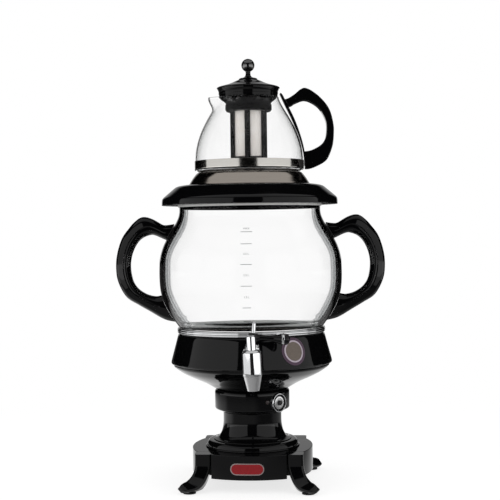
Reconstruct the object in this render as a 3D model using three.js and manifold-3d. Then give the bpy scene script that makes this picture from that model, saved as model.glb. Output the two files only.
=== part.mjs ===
// Electric glass samovar with a glass teapot standing on its lid.
// Millimetres, +Z up. The origin is on the floor, under the centre of the whole outline.
// The tap faces -Y, the teapot handle points to +X and its pouring lip to -X.

import * as THREE from 'three';
import { mergeVertices } from 'three/addons/utils/BufferGeometryUtils.js';
import Module from 'manifold-3d';

const wasm = await Module();
wasm.setup();

// Clearances and facets

const gap = 0.3;             // between pieces that seat on each other
const overrun = 2;           // how far a cutting tool runs past the wall it cuts
const weld = 0.0001;         // vertices closer than this are one
const bodySides = 28;        // facets round the wide turned pieces
const teapotSides = 24;
const neckSides = 20;
const smallSides = 12;

// Base: a plinth of four bulging panels between the posts of four cabriole legs

const baseTurn = -4.5;       // degrees, the pedestal stands a little turned under the tank
const plinthHeight = 28;
const plinthClearance = 18;  // under the plinth
const plinthWall = 3;
const panelBulge = 10;       // how far the middle of a panel stands out past the posts
const postSize = 19.8;
const postOuter = 66.3;      // axis to the outer face of a post
const panelSteps = 6;
const legReach = 119.5;      // axis to the tip of a toe, along the diagonal
const legSteps = 10;
const soleReach = 102;       // axis to the middle of a sole
const padRadius = 8;
const padHeight = 2;
const coverThickness = 2;
const glandRadius = 7;
const glandBore = 4.6;
const glandFlange = 9.5;
const glandFlangeDepth = 2;

// Neck: step moulding, waisted column and control housing, drawn together by one tie rod

const stepRadius = 59.5;
const stepHeight = 11.2;
const stepBore = 30;
const columnRadius = 45.5;
const columnHeight = 31.9;
const columnWall = 3;
const housingRadius = 47.2;
const housingHeight = 28.7;
const housingWall = 2.5;
const tieRodRadius = 4;
const tieNutRadius = 8;      // across the corners of head and nut
const tieNutHeight = 6;

// Thermostat dial and pilot lamp on the control housing

const dialAngle = 43.5;      // degrees to the right of the tap
const dialHeightShare = 0.49;
const bezelRadius = 12;
const bezelLip = 1.8;
const bezelDepth = 6.4;
const bezelStand = 2.6;      // how far the bezel stands out of the housing
const dialRise = 1.2;        // dial face behind the bezel face
const dialDepth = 3.4;
const insertRadius = 7.2;
const insertDepth = 1;
const pointerRadius = 3.2;
const pointerRise = 2.2;
const shaftRadius = 2.2;
const thermostatRadius = 9;
const thermostatDepth = 14;
const lampAngle = 23;
const lampHeightShare = 0.55;
const lampRadius = 2.6;
const lampDepth = 7;
const lampStand = 1.4;

// Body: sloping underside, band, and the steel pan that is the floor of the tank

const coneHeight = 32.4;
const bodyWall = 2.5;
const bandRadius = 101.8;
const bandHeight = 38.6;
const bandTopShare = 0.889;
const ledgeWidth = 6.5;      // ledge inside the top of the band that carries the pan
const bandLedge = bandRadius * bandTopShare - ledgeWidth;
const panSheet = 0.8;
const panClearance = 4;      // pan to the ledge
const panRadius = bandLedge - panClearance;
const panFlangeWidth = 11.2;
const panFlange = panRadius + panFlangeWidth;
const panDepth = 33;
const panCorner = 2.5;
const elementRadius = 55;
const elementTube = 3.5;
const sensorRadius = 8;
const sensorHeight = 7;
const sensorPlace = 26;      // axis to the middle of the sensor
const trimWall = 1.9;
const trimRadius = panFlange + gap + trimWall;
const trimHeight = 6.4;
const tankSeal = 1.5;        // thickness of the silicone ring under the glass

// Tank: a bellied glass with two side handles

const tankRadius = 115.5;
const tankHeight = 156.9;
const tankWall = 3;
const tankNeck = 89.2;
const tankFoot = panFlange - gap;
const handleStandoff = 54.9; // outer edge of a handle, out from the belly of the glass
const handleGrip = 18.6;     // grip thickness seen from the front
const handleWidth = 20;
const handleSteps = 20;

// Tap: barrel with a plug valve, side lever, and a spout that hangs at its front

const tapDrop = 18.3;        // barrel axis under the top of the band
const barrelTurn = 4.8;      // degrees, plug leans to the right about the barrel axis
const spoutTurn = -2.3;      // degrees, foot of the spout leans to the right
const shankRadius = 7;
const waterBore = 2.6;
const tapFlangeRadius = 11;
const tapFlangeDepth = 2;
const tapNutRadius = 11.5;
const tapNutDepth = 6;
const tapWasherRadius = 11;
const tapWasherDepth = 2;
const plugRadius = 6;
const plugHouseRadius = 9;
const plugInset = 0.8;       // how far the plug's housing stands inside the foot of the band
const plugHouseHeight = 21;
const plugHouseFloor = 2;
const plugCap = 8;
const plugCapHeight = 1.8;
const plugOpenAngle = 60;    // degrees from closed to open
const stemRadius = 2.3;
const stemHeight = 27;       // above the cap of the plug
const leverRise = 8.6;       // lever axis above the cap of the plug
const leverHub = 5.6;
const leverHubHeight = 10;
const leverNeck = 3;
const leverEnd = 6.4;
const leverLength = 33.6;    // plug axis to the lever ring
const leverSpigot = 3.6;
const leverRing = 7;
const leverRingWidth = 3;
const leverCapLength = 6.4;
const spoutRadius = 5.4;
const spoutClearance = 1.7;  // sleeve of the spout to the plug's housing
const spoutTop = 25;         // above the barrel axis
const spoutFoot = 24;        // below it
const spoutBore = 3.2;
const sleeveRadius = 11.3;
const sleeveTop = 8;
const sleeveShoulder = 4;
const sleeveFoot = 21.5;
const sleeveNeck = 7.4;
const nozzleHeight = 17.3;
const nozzleRadius = 10.6;
const nozzleEnd = 6.65;
const nozzleBore = 4.7;
const spigotRadius = 4.6;
const plugReach = bandRadius + plugHouseRadius - plugInset;
const spoutReach = plugReach + plugHouseRadius + spoutClearance + sleeveRadius;

// Lid of the tank: black brim, steel collar and seal

const brimRadius = 111.6;
const brimSeat = 21.7;       // height of the seat that carries the collar
const brimRim = 2.7;         // lip round the collar above that seat
const brimHole = 66;
const brimSkirtDepth = 6.6;
const brimSkirtWall = 1.8;
const brimDripDepth = 3.6;   // lip under the brim, round the outside of the glass
const brimDripWall = 1.8;
const lidSeal = 0.8;
const collarRadius = 77;
const collarHeight = 17.6;
const collarSheet = 0.8;
const collarHole = 54;

// Teapot: glass, steel band, handle, lid with knob, and a lift-out infuser

const teapotRadius = 68.1;
const teapotHeight = 94.1;
const teapotWall = 2;
const teapotRim = 38.2;
const teapotPunt = 2.4;      // how far the middle of the bottom is pushed up
const lipReach = 14;
const lipSpread = 34;        // degrees to each side of the lip
const lipStartShare = 0.87;
const bandSeatShare = 0.046;
const teapotBandHeight = 10;
const teapotBandSheet = 0.8;
const potHandleStandoff = 39.3;
const potHandleGrip = 9.4;
const potHandleWidth = 15;
const potHandleSteps = 18;
const strapWidth = 9;
const strapThickness = 2.8;
const bandScrewRadius = 2;
const infuserCollarRadius = 39.4;
const infuserCollarDepth = 17.4;  // below the rim of the glass
const infuserCollarRise = 11.1;   // above it
const infuserCollarWall = 2.2;
const infuserRadius = 22.7;
const infuserFloor = 12.6;        // bottom of the frame above the bottom of the glass
const infuserRingWall = 1.6;
const infuserRibWidth = 6.3;
const infuserRibTurn = -6;        // degrees from the front
const infuserEnd = 2;             // thickness of the bottom of the frame
const infuserHoop = 3;            // hoops above and below the windows
const meshSheet = 0.6;
const infuserNeck = 28.8;
const potLidRadius = 39.9;
const potLidHeight = 11.4;
const potLidWall = 2;
const potLidSkirt = 7;
const potLidFlange = 12;
const knobRadius = 8.3;
const knobNeck = 3.1;
const knobNeckHeight = 9.6;
const knobSteps = 7;

// Heights of the seats, from the floor up

const plinthTop = plinthClearance + plinthHeight;
const stepZ = plinthTop + gap;
const columnZ = stepZ + stepHeight + gap;
const housingZ = columnZ + columnHeight + gap;
const coneZ = housingZ + housingHeight + gap;
const bandZ = coneZ + coneHeight + gap;
const bandTop = bandZ + bandHeight;
const panTop = bandTop + gap + panSheet;
const tankSealZ = panTop + gap;
const tankZ = tankSealZ + tankSeal + gap;
const tankTop = tankZ + tankHeight;
const lidSealZ = tankTop + gap;
const brimZ = lidSealZ + lidSeal + gap;
const collarZ = brimZ + brimSeat + gap;
const teapotZ = collarZ + collarHeight + gap;
const teapotTop = teapotZ + teapotHeight;
const tapZ = bandTop - tapDrop;

// Outlines as shares, each pair a share of the piece's radius and of its height

const stepShares = [[1, 0], [1, 0.2], [0.93, 0.22], [0.93, 0.62], [0.89, 0.88], [0.76, 1]];
const columnShares = [[1, 0], [0.985, 0.05], [0.88, 0.18], [0.84, 0.26], [0.776, 0.48], [0.774, 0.75],
  [0.809, 1]];
const columnInsideShares = [[0.743, 0], [0.71, 0.48], [0.71, 0.9]];
const housingShares = [[0.78, 0], [1, 0.15], [1, 0.965], [0.98, 1]];
const coneShares = [[0.461, 0], [0.525, 0.07], [0.648, 0.29], [0.772, 0.46], [0.871, 0.62],
  [0.969, 0.9], [0.969, 1]];
const bandShares = [[0.992, 0], [1, 0.031], [0.985, 0.256], [0.939, 0.733],
  [bandTopShare, 1]];
const tankShares = [[0.914, 0.169], [0.968, 0.26], [1, 0.4], [1, 0.53],
  [0.973, 0.66], [0.8355, 0.832]];
const tankNeckShare = 0.92;
const brimShares = [[0.841, 0.84], [0.9, 0.685], [0.949, 0.49], [0.984, 0.345], [1, 0.18],
  [1, 0.03], [0.99, -0.03]];
const collarShares = [[1, 0], [1, 0.13], [0.922, 0.7], [0.84, 1]];
const teapotShares = [[0.91, 0], [0.969, 0.03], [1, 0.15], [0.99, 0.29], [0.806, 0.651],
  [0.67, 0.832], [0.573, 0.95]];
const leverShares = [[0.7, 0.8], [1, 1]];
const leverCapShares = [[1, 0], [0.9, 0.55], [0.52, 0.9], [0, 1]];
const teapotPuntShare = 0.85;
const potLidShares = [[1, 0], [0.98, 0.1], [0.91, 0.18], [0.8, 0.27], [0.63, 0.46], [0.45, 0.78]];

// Handle centre lines as shares: out from the glass, up the glass, grip thickness

const handleShares = [[-0.3, 0.785, 1.06], [-0.07, 0.797, 0.94], [0.1, 0.812, 1],
  [0.245, 0.842, 1.2], [0.52, 0.81, 1.1], [0.683, 0.722, 1.06], [0.792, 0.622, 1],
  [0.831, 0.52, 1], [0.783, 0.402, 1.02], [0.628, 0.304, 0.98], [0.392, 0.252, 0.86],
  [0.137, 0.214, 1.08], [-0.038, 0.184, 1.6], [-0.3, 0.17, 2.1]];
const potHandleShares = [[-0.66, 0.85, 1], [-0.5, 0.895, 1.1], [-0.2, 0.975, 1.15],
  [0.053, 1.038, 1.7], [0.354, 0.975, 1.4], [0.608, 0.869, 1.17], [0.784, 0.768, 1.06],
  [0.878, 0.609, 1], [0.88, 0.524, 1], [0.837, 0.396, 1.17], [0.71, 0.283, 1.8],
  [0.455, 0.189, 2.3], [0.1, 0.157, 2.35], [-0.12, 0.15, 2.35]];
const handleSectionShares = [[1, 0.4], [0.55, 1], [-0.55, 1], [-1, 0.4], [-1, -0.4],
  [-0.55, -1], [0.55, -1], [1, -0.4]];

// Leg as shares: along the reach, up the height, thickness, width, and how far the
// section has gone from the square post to the flat rounded foot

const legShares = [[0, 1, 1, 1, 0], [0.015, 0.78, 1, 1, 0], [0.1, 0.59, 0.98, 1, 0.1],
  [0.24, 0.41, 0.84, 0.93, 0.4], [0.43, 0.27, 0.62, 0.84, 0.8], [0.66, 0.185, 0.46, 0.78, 1],
  [0.86, 0.16, 0.32, 0.62, 1], [0.98, 0.145, 0.14, 0.36, 1]];
const postSectionShares = [[0.9, 0.1], [0.1, 0.9], [-0.1, 0.9], [-0.9, 0.1], [-0.9, -0.1],
  [-0.1, -0.9], [0.1, -0.9], [0.9, -0.1]];
const footSectionShares = [[1, 0.6], [0.5, 1], [-0.5, 1], [-1, 0.6], [-1, -0.6],
  [-0.5, -1], [0.5, -1], [1, -0.6]];

const radians = THREE.MathUtils.degToRad;

// Materials

const finish = (color, roughness, metalness) =>
  new THREE.MeshStandardMaterial({ color, roughness, metalness, flatShading: true });
const blackPlastic = finish('#0d0d0e', 0.15, 0);
const glass = new THREE.MeshStandardMaterial({
  color: '#f4f8f8', roughness: 0.03, metalness: 0, transparent: true, opacity: 0.3, flatShading: true,
});
const chrome = finish('#d9dbde', 0.08, 1);
const steel = finish('#b9b4ab', 0.32, 1);
const brass = finish('#c4a45a', 0.3, 1);
const rubber = finish('#1b1b1b', 0.8, 0);
const silicone = finish('#d8dadb', 0.6, 0);
const lampRed = finish('#8a1712', 0.2, 0);
const zinc = finish('#9a9c9e', 0.4, 1);

// Geometry helpers

// Merges vertices, drops triangles without area, and turns an inside-out skin the right way
function closed(geometry) {
  geometry.deleteAttribute('uv');
  geometry.deleteAttribute('normal');
  const merged = mergeVertices(geometry, weld);
  const place = merged.attributes.position;
  const corners = [new THREE.Vector3(), new THREE.Vector3(), new THREE.Vector3()];
  const kept = [];
  let volume = 0;
  for (let start = 0; start < merged.index.count; start += 3) {
    const [a, b, c] = [0, 1, 2].map((step) => merged.index.getX(start + step));
    if (a !== b && b !== c && c !== a) {
      kept.push(a, b, c);
      [a, b, c].forEach((vertex, slot) => corners[slot].fromBufferAttribute(place, vertex));
      volume += corners[0].dot(corners[1].cross(corners[2]));
    }
  }
  merged.setIndex(volume < 0 ? kept.reverse() : kept);
  return merged;
}

// Spins a closed outline of [radius, height] points about Z
function turned(outline, sides = smallSides) {
  const points = [...outline, outline[0]].map(([radius, height]) => new THREE.Vector2(radius, height));
  return closed(new THREE.LatheGeometry(points, sides).rotateX(Math.PI / 2));
}

const sized = (shares, radius, height) => shares.map(([r, h]) => [r * radius, h * height]);

// Moves an open outline sideways by a distance, to its left as it is walked
function offset(outline, distance) {
  return outline.map(([r, h], place) => {
    const before = outline[Math.max(place - 1, 0)];
    const after = outline[Math.min(place + 1, outline.length - 1)];
    const along = new THREE.Vector2(after[0] - before[0], after[1] - before[1]).normalize();
    return [r - along.y * distance, h + along.x * distance];
  });
}

const disc = (radius, low, high, sides = smallSides) =>
  turned([[0, low], [radius, low], [radius, high], [0, high]], sides);
const ring = (inner, outer, low, high, sides = smallSides) =>
  turned([[inner, low], [outer, low], [outer, high], [inner, high]], sides);

const forward = (geometry) => geometry.rotateX(Math.PI / 2);   // its +Z comes to face -Y
const sideways = (geometry) => geometry.rotateY(Math.PI / 2);  // its +Z comes to face +X

// Closed skin through rings of points that all run the same way round
function loft(rings) {
  const count = rings[0].length;
  const skin = new THREE.BufferGeometry();
  const places = rings.flat().flatMap((point) => point.toArray());
  skin.setAttribute('position', new THREE.Float32BufferAttribute(places, 3));
  const index = [];
  for (let row = 0; row < rings.length - 1; row += 1) {
    for (let corner = 0; corner < count; corner += 1) {
      const next = (corner + 1) % count;
      const [a, b] = [row * count + corner, row * count + next];
      index.push(a, b, b + count, a, b + count, a + count);
    }
  }
  const last = (rings.length - 1) * count;
  for (let corner = 1; corner < count - 1; corner += 1) {
    index.push(0, corner + 1, corner, last, last + corner, last + corner + 1);
  }
  skin.setIndex(index);
  return closed(skin);
}

// Ring of section points round a point of a path that lies in the XZ plane
function sectionRing(point, along, section, halfThickness, halfWidth) {
  const across = new THREE.Vector3(-along.z, 0, along.x);
  return section.map(([u, v]) =>
    point.clone().addScaledVector(across, u * halfThickness).add(new THREE.Vector3(0, v * halfWidth, 0)));
}

// Bar of changing thickness swept through [x, z, thickness] places in the XZ plane
function bar(places, width, steps, section) {
  const path = new THREE.CatmullRomCurve3(places.map(([x, z, thickness]) =>
    new THREE.Vector3(x, thickness, z)));
  const rings = [];
  for (let step = 0; step <= steps; step += 1) {
    const spot = path.getPoint(step / steps);
    const along = path.getTangent(step / steps).setY(0).normalize();
    const middle = new THREE.Vector3(spot.x, 0, spot.z);
    rings.push(sectionRing(middle, along, section, spot.y / 2, width / 2));
  }
  return loft(rings);
}

function solid(geometry) {
  const vertProperties = new Float32Array(geometry.attributes.position.array);
  return new wasm.Manifold(new wasm.Mesh({
    numProp: 3, vertProperties, triVerts: new Uint32Array(geometry.index.array),
  }));
}

function skinOf(body) {
  const { vertProperties, triVerts } = body.getMesh();
  const geometry = new THREE.BufferGeometry();
  geometry.setAttribute('position', new THREE.BufferAttribute(vertProperties, 3));
  geometry.setIndex(new THREE.BufferAttribute(triVerts, 1));
  return geometry;
}

const cut = (geometry, ...tools) =>
  skinOf(tools.reduce((body, tool) => body.subtract(solid(tool)), solid(geometry)));
const fused = (geometry, ...others) =>
  skinOf(others.reduce((body, other) => body.add(solid(other)), solid(geometry)));

function plate(shape, thickness, curveSegments = panelSteps) {
  return closed(new THREE.ExtrudeGeometry(shape, { depth: thickness, bevelEnabled: false, curveSegments }));
}

function piece(parent, name, geometry, material, [x, y, z] = [0, 0, 0]) {
  const mesh = new THREE.Mesh(geometry, material);
  mesh.name = name;
  mesh.position.set(x, y, z);
  parent.add(mesh);
  return mesh;
}

const object = new THREE.Group();
const samovar = new THREE.Group();
samovar.position.y = (spoutReach + sleeveRadius - tankRadius) / 2;
object.add(samovar);

// Base

const panelHalf = postOuter - postSize - gap;  // half the length of a panel between two posts

// Outline of the plinth: a bulging panel on each side, and a notch for a post at each corner
function plinthOutline(inset) {
  const half = panelHalf - inset;
  const out = postOuter - gap - inset;
  const radius = (half * half + panelBulge * panelBulge) / (2 * panelBulge);
  const sweep = Math.asin(half / radius);
  const points = [];
  for (let side = 0; side < 4; side += 1) {
    for (let step = 0; step <= panelSteps; step += 1) {
      const angle = sweep * (2 * step / panelSteps - 1);
      const depth = radius - out - panelBulge - radius * Math.cos(angle);
      points.push(new THREE.Vector2(radius * Math.sin(angle), depth)
        .rotateAround(new THREE.Vector2(), side * Math.PI / 2));
    }
    points.push(new THREE.Vector2(half, -half).rotateAround(new THREE.Vector2(), side * Math.PI / 2));
  }
  return new THREE.Shape(points);
}

function buildBase() {
  const base = new THREE.Group();
  base.rotation.z = radians(baseTurn);
  samovar.add(base);

  const glandZ = plinthHeight / 2;
  const panelFace = postOuter - gap + panelBulge;
  const rodHole = disc(tieRodRadius + gap, -overrun, plinthHeight + overrun);
  const room = plate(plinthOutline(plinthWall), plinthHeight).translate(0, 0, -plinthWall);
  const glandHole = disc(glandRadius + gap, 0, panelFace + overrun).rotateX(-Math.PI / 2);
  glandHole.translate(0, 0, glandZ);
  piece(base, 'base_plinth', cut(plate(plinthOutline(0), plinthHeight), room, rodHole, glandHole),
    blackPlastic, [0, 0, plinthClearance]);
  piece(base, 'base_cover', plate(plinthOutline(plinthWall + gap), coverThickness),
    blackPlastic, [0, 0, plinthClearance]);

  const wallOutside = panelFace + gap;
  const wallInside = panelFace - plinthWall - gap;
  const glandBack = wallInside - glandFlangeDepth;
  const glandFace = wallOutside + glandFlangeDepth;
  const gland = turned([[glandBore, glandBack], [glandRadius, glandBack], [glandRadius, wallOutside],
    [glandFlange, wallOutside], [glandRadius, glandFace], [glandBore, glandFace]]).rotateX(-Math.PI / 2);
  piece(base, 'cord_gland', gland, rubber, [0, 0, plinthClearance + glandZ]);

  const postCentre = (postOuter - postSize / 2) * Math.SQRT2;
  const halfPost = postSize / Math.SQRT2;
  const soleZ = padHeight + gap;
  const path = new THREE.CatmullRomCurve3(legShares.map(([out, up]) =>
    new THREE.Vector3(postCentre + out * (legReach - postCentre), 0, up * plinthTop)));
  const sizes = new THREE.CatmullRomCurve3(legShares.map(([, , thickness, width, round]) =>
    new THREE.Vector3(thickness, width, round)));
  const rings = [];
  for (let step = 0; step <= legSteps; step += 1) {
    const { x: thickness, y: width, z: round } = sizes.getPoint(step / legSteps);
    const section = postSectionShares.map(([u, v], corner) => [
      THREE.MathUtils.lerp(u, footSectionShares[corner][0], round),
      THREE.MathUtils.lerp(v, footSectionShares[corner][1], round)]);
    const along = step === 0 ? new THREE.Vector3(0, 0, -1) : path.getTangent(step / legSteps);
    const spot = path.getPoint(step / legSteps);
    rings.push(sectionRing(spot, along, section, thickness * halfPost, width * halfPost));
  }
  const floor = disc(legReach * 2, -plinthTop, soleZ);
  const legSkin = cut(loft(rings), floor);
  const corners = { front_left: -135, front_right: -45, back_right: 45, back_left: 135 };
  for (const [corner, angle] of Object.entries(corners)) {
    const spot = new THREE.Group();
    spot.rotation.z = radians(angle);
    base.add(spot);
    piece(spot, `leg_${corner}`, legSkin.clone(), blackPlastic);
    piece(spot, `foot_pad_${corner}`, disc(padRadius, 0, padHeight), rubber, [soleReach, 0, 0]);
  }
}

// Neck

function hexagon(radius, low, high) {
  return turned([[0, low], [radius, low], [radius, high], [0, high]], 6);
}

function buildNeck() {
  const bore = tieRodRadius + gap;
  const step = [...sized(stepShares, stepRadius, stepHeight), [stepBore, stepHeight], [stepBore, 0]];
  piece(samovar, 'step_moulding', turned(step, neckSides), blackPlastic, [0, 0, stepZ]);

  const column = sized(columnShares, columnRadius, columnHeight);
  const columnInside = sized(columnInsideShares, columnRadius, columnHeight).reverse();
  const columnLid = columnInside[0][1];
  const lidInside = [[bore, columnHeight], [bore, columnLid], [columnInside[0][0], columnLid]];
  piece(samovar, 'neck_column', turned([...column, ...lidInside, ...columnInside], neckSides),
    blackPlastic, [0, 0, columnZ]);

  const housing = sized(housingShares, housingRadius, housingHeight);
  const inside = housingRadius - housingWall;
  const housingLid = housingHeight - housingWall;
  const mouth = housing[0][0] - housingWall;
  const shell = turned([...housing, [bore, housingHeight], [bore, housingLid], [inside, housingLid],
    [inside, housing[1][1]], [mouth, 0]], neckSides);
  const holes = [[dialAngle, dialHeightShare, bezelRadius], [lampAngle, lampHeightShare, lampRadius]];
  const tools = holes.map(([angle, share, radius]) =>
    forward(disc(radius + gap, housingRadius / 2, housingRadius + overrun, neckSides))
      .translate(0, 0, share * housingHeight).rotateZ(radians(angle)));
  piece(samovar, 'control_housing', cut(shell, ...tools), blackPlastic, [0, 0, housingZ]);

  const headZ = coneZ + bodyWall + gap;
  const nutTop = plinthTop - plinthWall - gap;
  const rod = fused(disc(tieRodRadius, nutTop - tieNutHeight - gap, headZ + gap),
    hexagon(tieNutRadius, headZ, headZ + tieNutHeight));
  piece(samovar, 'tie_rod', rod, zinc);
  piece(samovar, 'tie_nut', cut(hexagon(tieNutRadius, 0, tieNutHeight),
    disc(tieRodRadius + gap, -overrun, tieNutHeight + overrun)), zinc, [0, 0, nutTop - tieNutHeight]);
}

// Thermostat and pilot lamp

function buildControls() {
  const dial = new THREE.Group();
  dial.rotation.z = radians(dialAngle);
  dial.position.z = housingZ + dialHeightShare * housingHeight;
  samovar.add(dial);

  const face = housingRadius + bezelStand;
  const back = face - bezelDepth;
  const well = bezelRadius - bezelLip;
  const floor = back + bezelLip;
  const shaftHole = shaftRadius + gap;
  piece(dial, 'thermostat_bezel', forward(turned([[shaftHole, back], [bezelRadius, back], [bezelRadius, face],
    [well, face], [well, floor], [shaftHole, floor]], neckSides)), chrome);

  const dialFace = face - dialRise;
  const dialBack = dialFace - dialDepth;
  const insertFloor = dialFace - insertDepth;
  piece(dial, 'thermostat_dial', forward(turned([[shaftHole, dialBack], [well - gap, dialBack],
    [well - gap, dialFace], [insertRadius, dialFace], [insertRadius, insertFloor], [shaftHole, insertFloor]],
  neckSides)), blackPlastic);
  const insert = ring(shaftHole, insertRadius - gap, insertFloor + gap, dialFace + gap);
  piece(dial, 'dial_insert', forward(insert), steel);
  const pointerBack = dialFace + gap + gap;
  piece(dial, 'dial_shaft', forward(turned([[0, back - gap], [shaftRadius, back - gap],
    [shaftRadius, pointerBack], [pointerRadius, pointerBack], [pointerRadius, pointerBack + pointerRise],
    [0, pointerBack + pointerRise]])), blackPlastic);
  const thermostatFace = back - gap - gap;
  const thermostat = disc(thermostatRadius, thermostatFace - thermostatDepth, thermostatFace);
  piece(dial, 'thermostat_body', forward(thermostat), zinc);

  const lamp = new THREE.Group();
  lamp.rotation.z = radians(lampAngle);
  lamp.position.z = housingZ + lampHeightShare * housingHeight;
  samovar.add(lamp);
  const lampFace = housingRadius + lampStand;
  piece(lamp, 'pilot_lamp', forward(turned([[0, lampFace - lampDepth], [lampRadius, lampFace - lampDepth],
    [lampRadius, lampFace - lampStand / 2], [lampRadius / 2, lampFace], [0, lampFace]])), lampRed);
}

// Body with the steel pan

const bandOutline = sized(bandShares, bandRadius, bandHeight);

// Radius of the band's outer face at a height above its foot
function bandRadiusAt(height) {
  const above = bandOutline.findIndex(([, h]) => h >= height);
  const [[r0, h0], [r1, h1]] = [bandOutline[above - 1], bandOutline[above]];
  return r0 + (r1 - r0) * (height - h0) / (h1 - h0);
}

function buildBody() {
  const bore = tieRodRadius + gap;
  const cone = sized(coneShares, bandRadius, coneHeight);
  const coneInside = offset(cone, bodyWall).filter((point, place) => place % 2 === 1).reverse();
  const coneRim = cone[cone.length - 1][0] - bodyWall;
  piece(samovar, 'body_cone', turned([[bore, 0], ...cone, [coneRim, coneHeight], ...coneInside,
    [bore, bodyWall]], bodySides), blackPlastic, [0, 0, coneZ]);

  const ledgeUnder = bandHeight - bodyWall;
  const bandInside = offset(bandOutline, bodyWall).slice(1, -1).reverse();
  const tapHole = forward(disc(shankRadius + gap, panRadius, bandRadius + overrun))
    .translate(0, 0, bandHeight - tapDrop);
  const band = turned([...bandOutline, [bandLedge, bandHeight], [bandLedge, ledgeUnder],
    [bandInside[0][0] - bodyWall, ledgeUnder], ...bandInside, [bandOutline[0][0] - bodyWall, 0]], bodySides);
  piece(samovar, 'body_band', cut(band, tapHole), blackPlastic, [0, 0, bandZ]);

  const panInside = panRadius - panSheet;
  const pan = turned([[0, -panDepth], [panRadius - panCorner, -panDepth], [panRadius, panCorner - panDepth],
    [panRadius, -panSheet], [panFlange, -panSheet], [panFlange, 0], [panInside, 0],
    [panInside, panCorner + panSheet - panDepth], [panInside - panCorner, panSheet - panDepth],
    [0, panSheet - panDepth]], bodySides);
  const panHole = forward(disc(shankRadius + gap, panRadius / 2, panRadius + overrun))
    .translate(0, 0, tapZ - panTop);
  piece(samovar, 'tank_pan', cut(pan, panHole), steel, [0, 0, panTop]);

  const panUnder = panTop - panDepth;
  const tube = [];
  for (let step = 0; step < 6; step += 1) {
    const angle = (step + 0.5) * Math.PI / 3;
    tube.push([elementRadius + elementTube * Math.cos(angle), elementTube * Math.sin(angle)]);
  }
  piece(samovar, 'heating_element', turned(tube, neckSides), zinc, [0, 0, panUnder - gap - elementTube]);
  piece(samovar, 'boil_dry_sensor', disc(sensorRadius, 0, sensorHeight), zinc,
    [sensorPlace, 0, panUnder - gap - sensorHeight]);

  const trimInner = panFlange + gap;
  piece(samovar, 'trim_ring', turned([[trimInner, 0], [trimRadius - gap, 0], [trimRadius, trimHeight / 2],
    [trimRadius - gap, trimHeight], [trimInner, trimHeight]], bodySides), chrome, [0, 0, bandTop + gap]);
  piece(samovar, 'tank_seal', ring(tankFoot - tankWall, tankFoot, 0, tankSeal, neckSides), silicone,
    [0, 0, tankSealZ]);
}

// Tank

const tankStep = bandTop + gap + trimHeight - tankZ;  // the glass stands straight inside the trim ring
const tankOutline = [[tankFoot, 0], [tankFoot, tankStep], ...sized(tankShares, tankRadius, tankHeight),
  [tankNeck, tankHeight * tankNeckShare], [tankNeck, tankHeight]];

function buildTank() {
  const inside = offset(tankOutline, tankWall).reverse();
  inside[0][1] = tankHeight;
  inside[inside.length - 1][1] = 0;
  piece(samovar, 'tank_glass', turned([...tankOutline, ...inside], bodySides), glass, [0, 0, tankZ]);

  const envelope = tankOutline.map(([r, h]) => [r + gap * Math.SQRT2, h]);
  const tool = turned([[0, 0], ...envelope, [0, tankHeight]], bodySides);
  for (const [name, side] of [['handle_left', -1], ['handle_right', 1]]) {
    const places = handleShares.map(([out, up, thickness]) =>
      [side * (tankRadius + out * handleStandoff), up * tankHeight, thickness * handleGrip]);
    piece(samovar, name, cut(bar(places, handleWidth, handleSteps, handleSectionShares), tool),
      blackPlastic, [0, 0, tankZ]);
  }
}

// Tap

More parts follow.
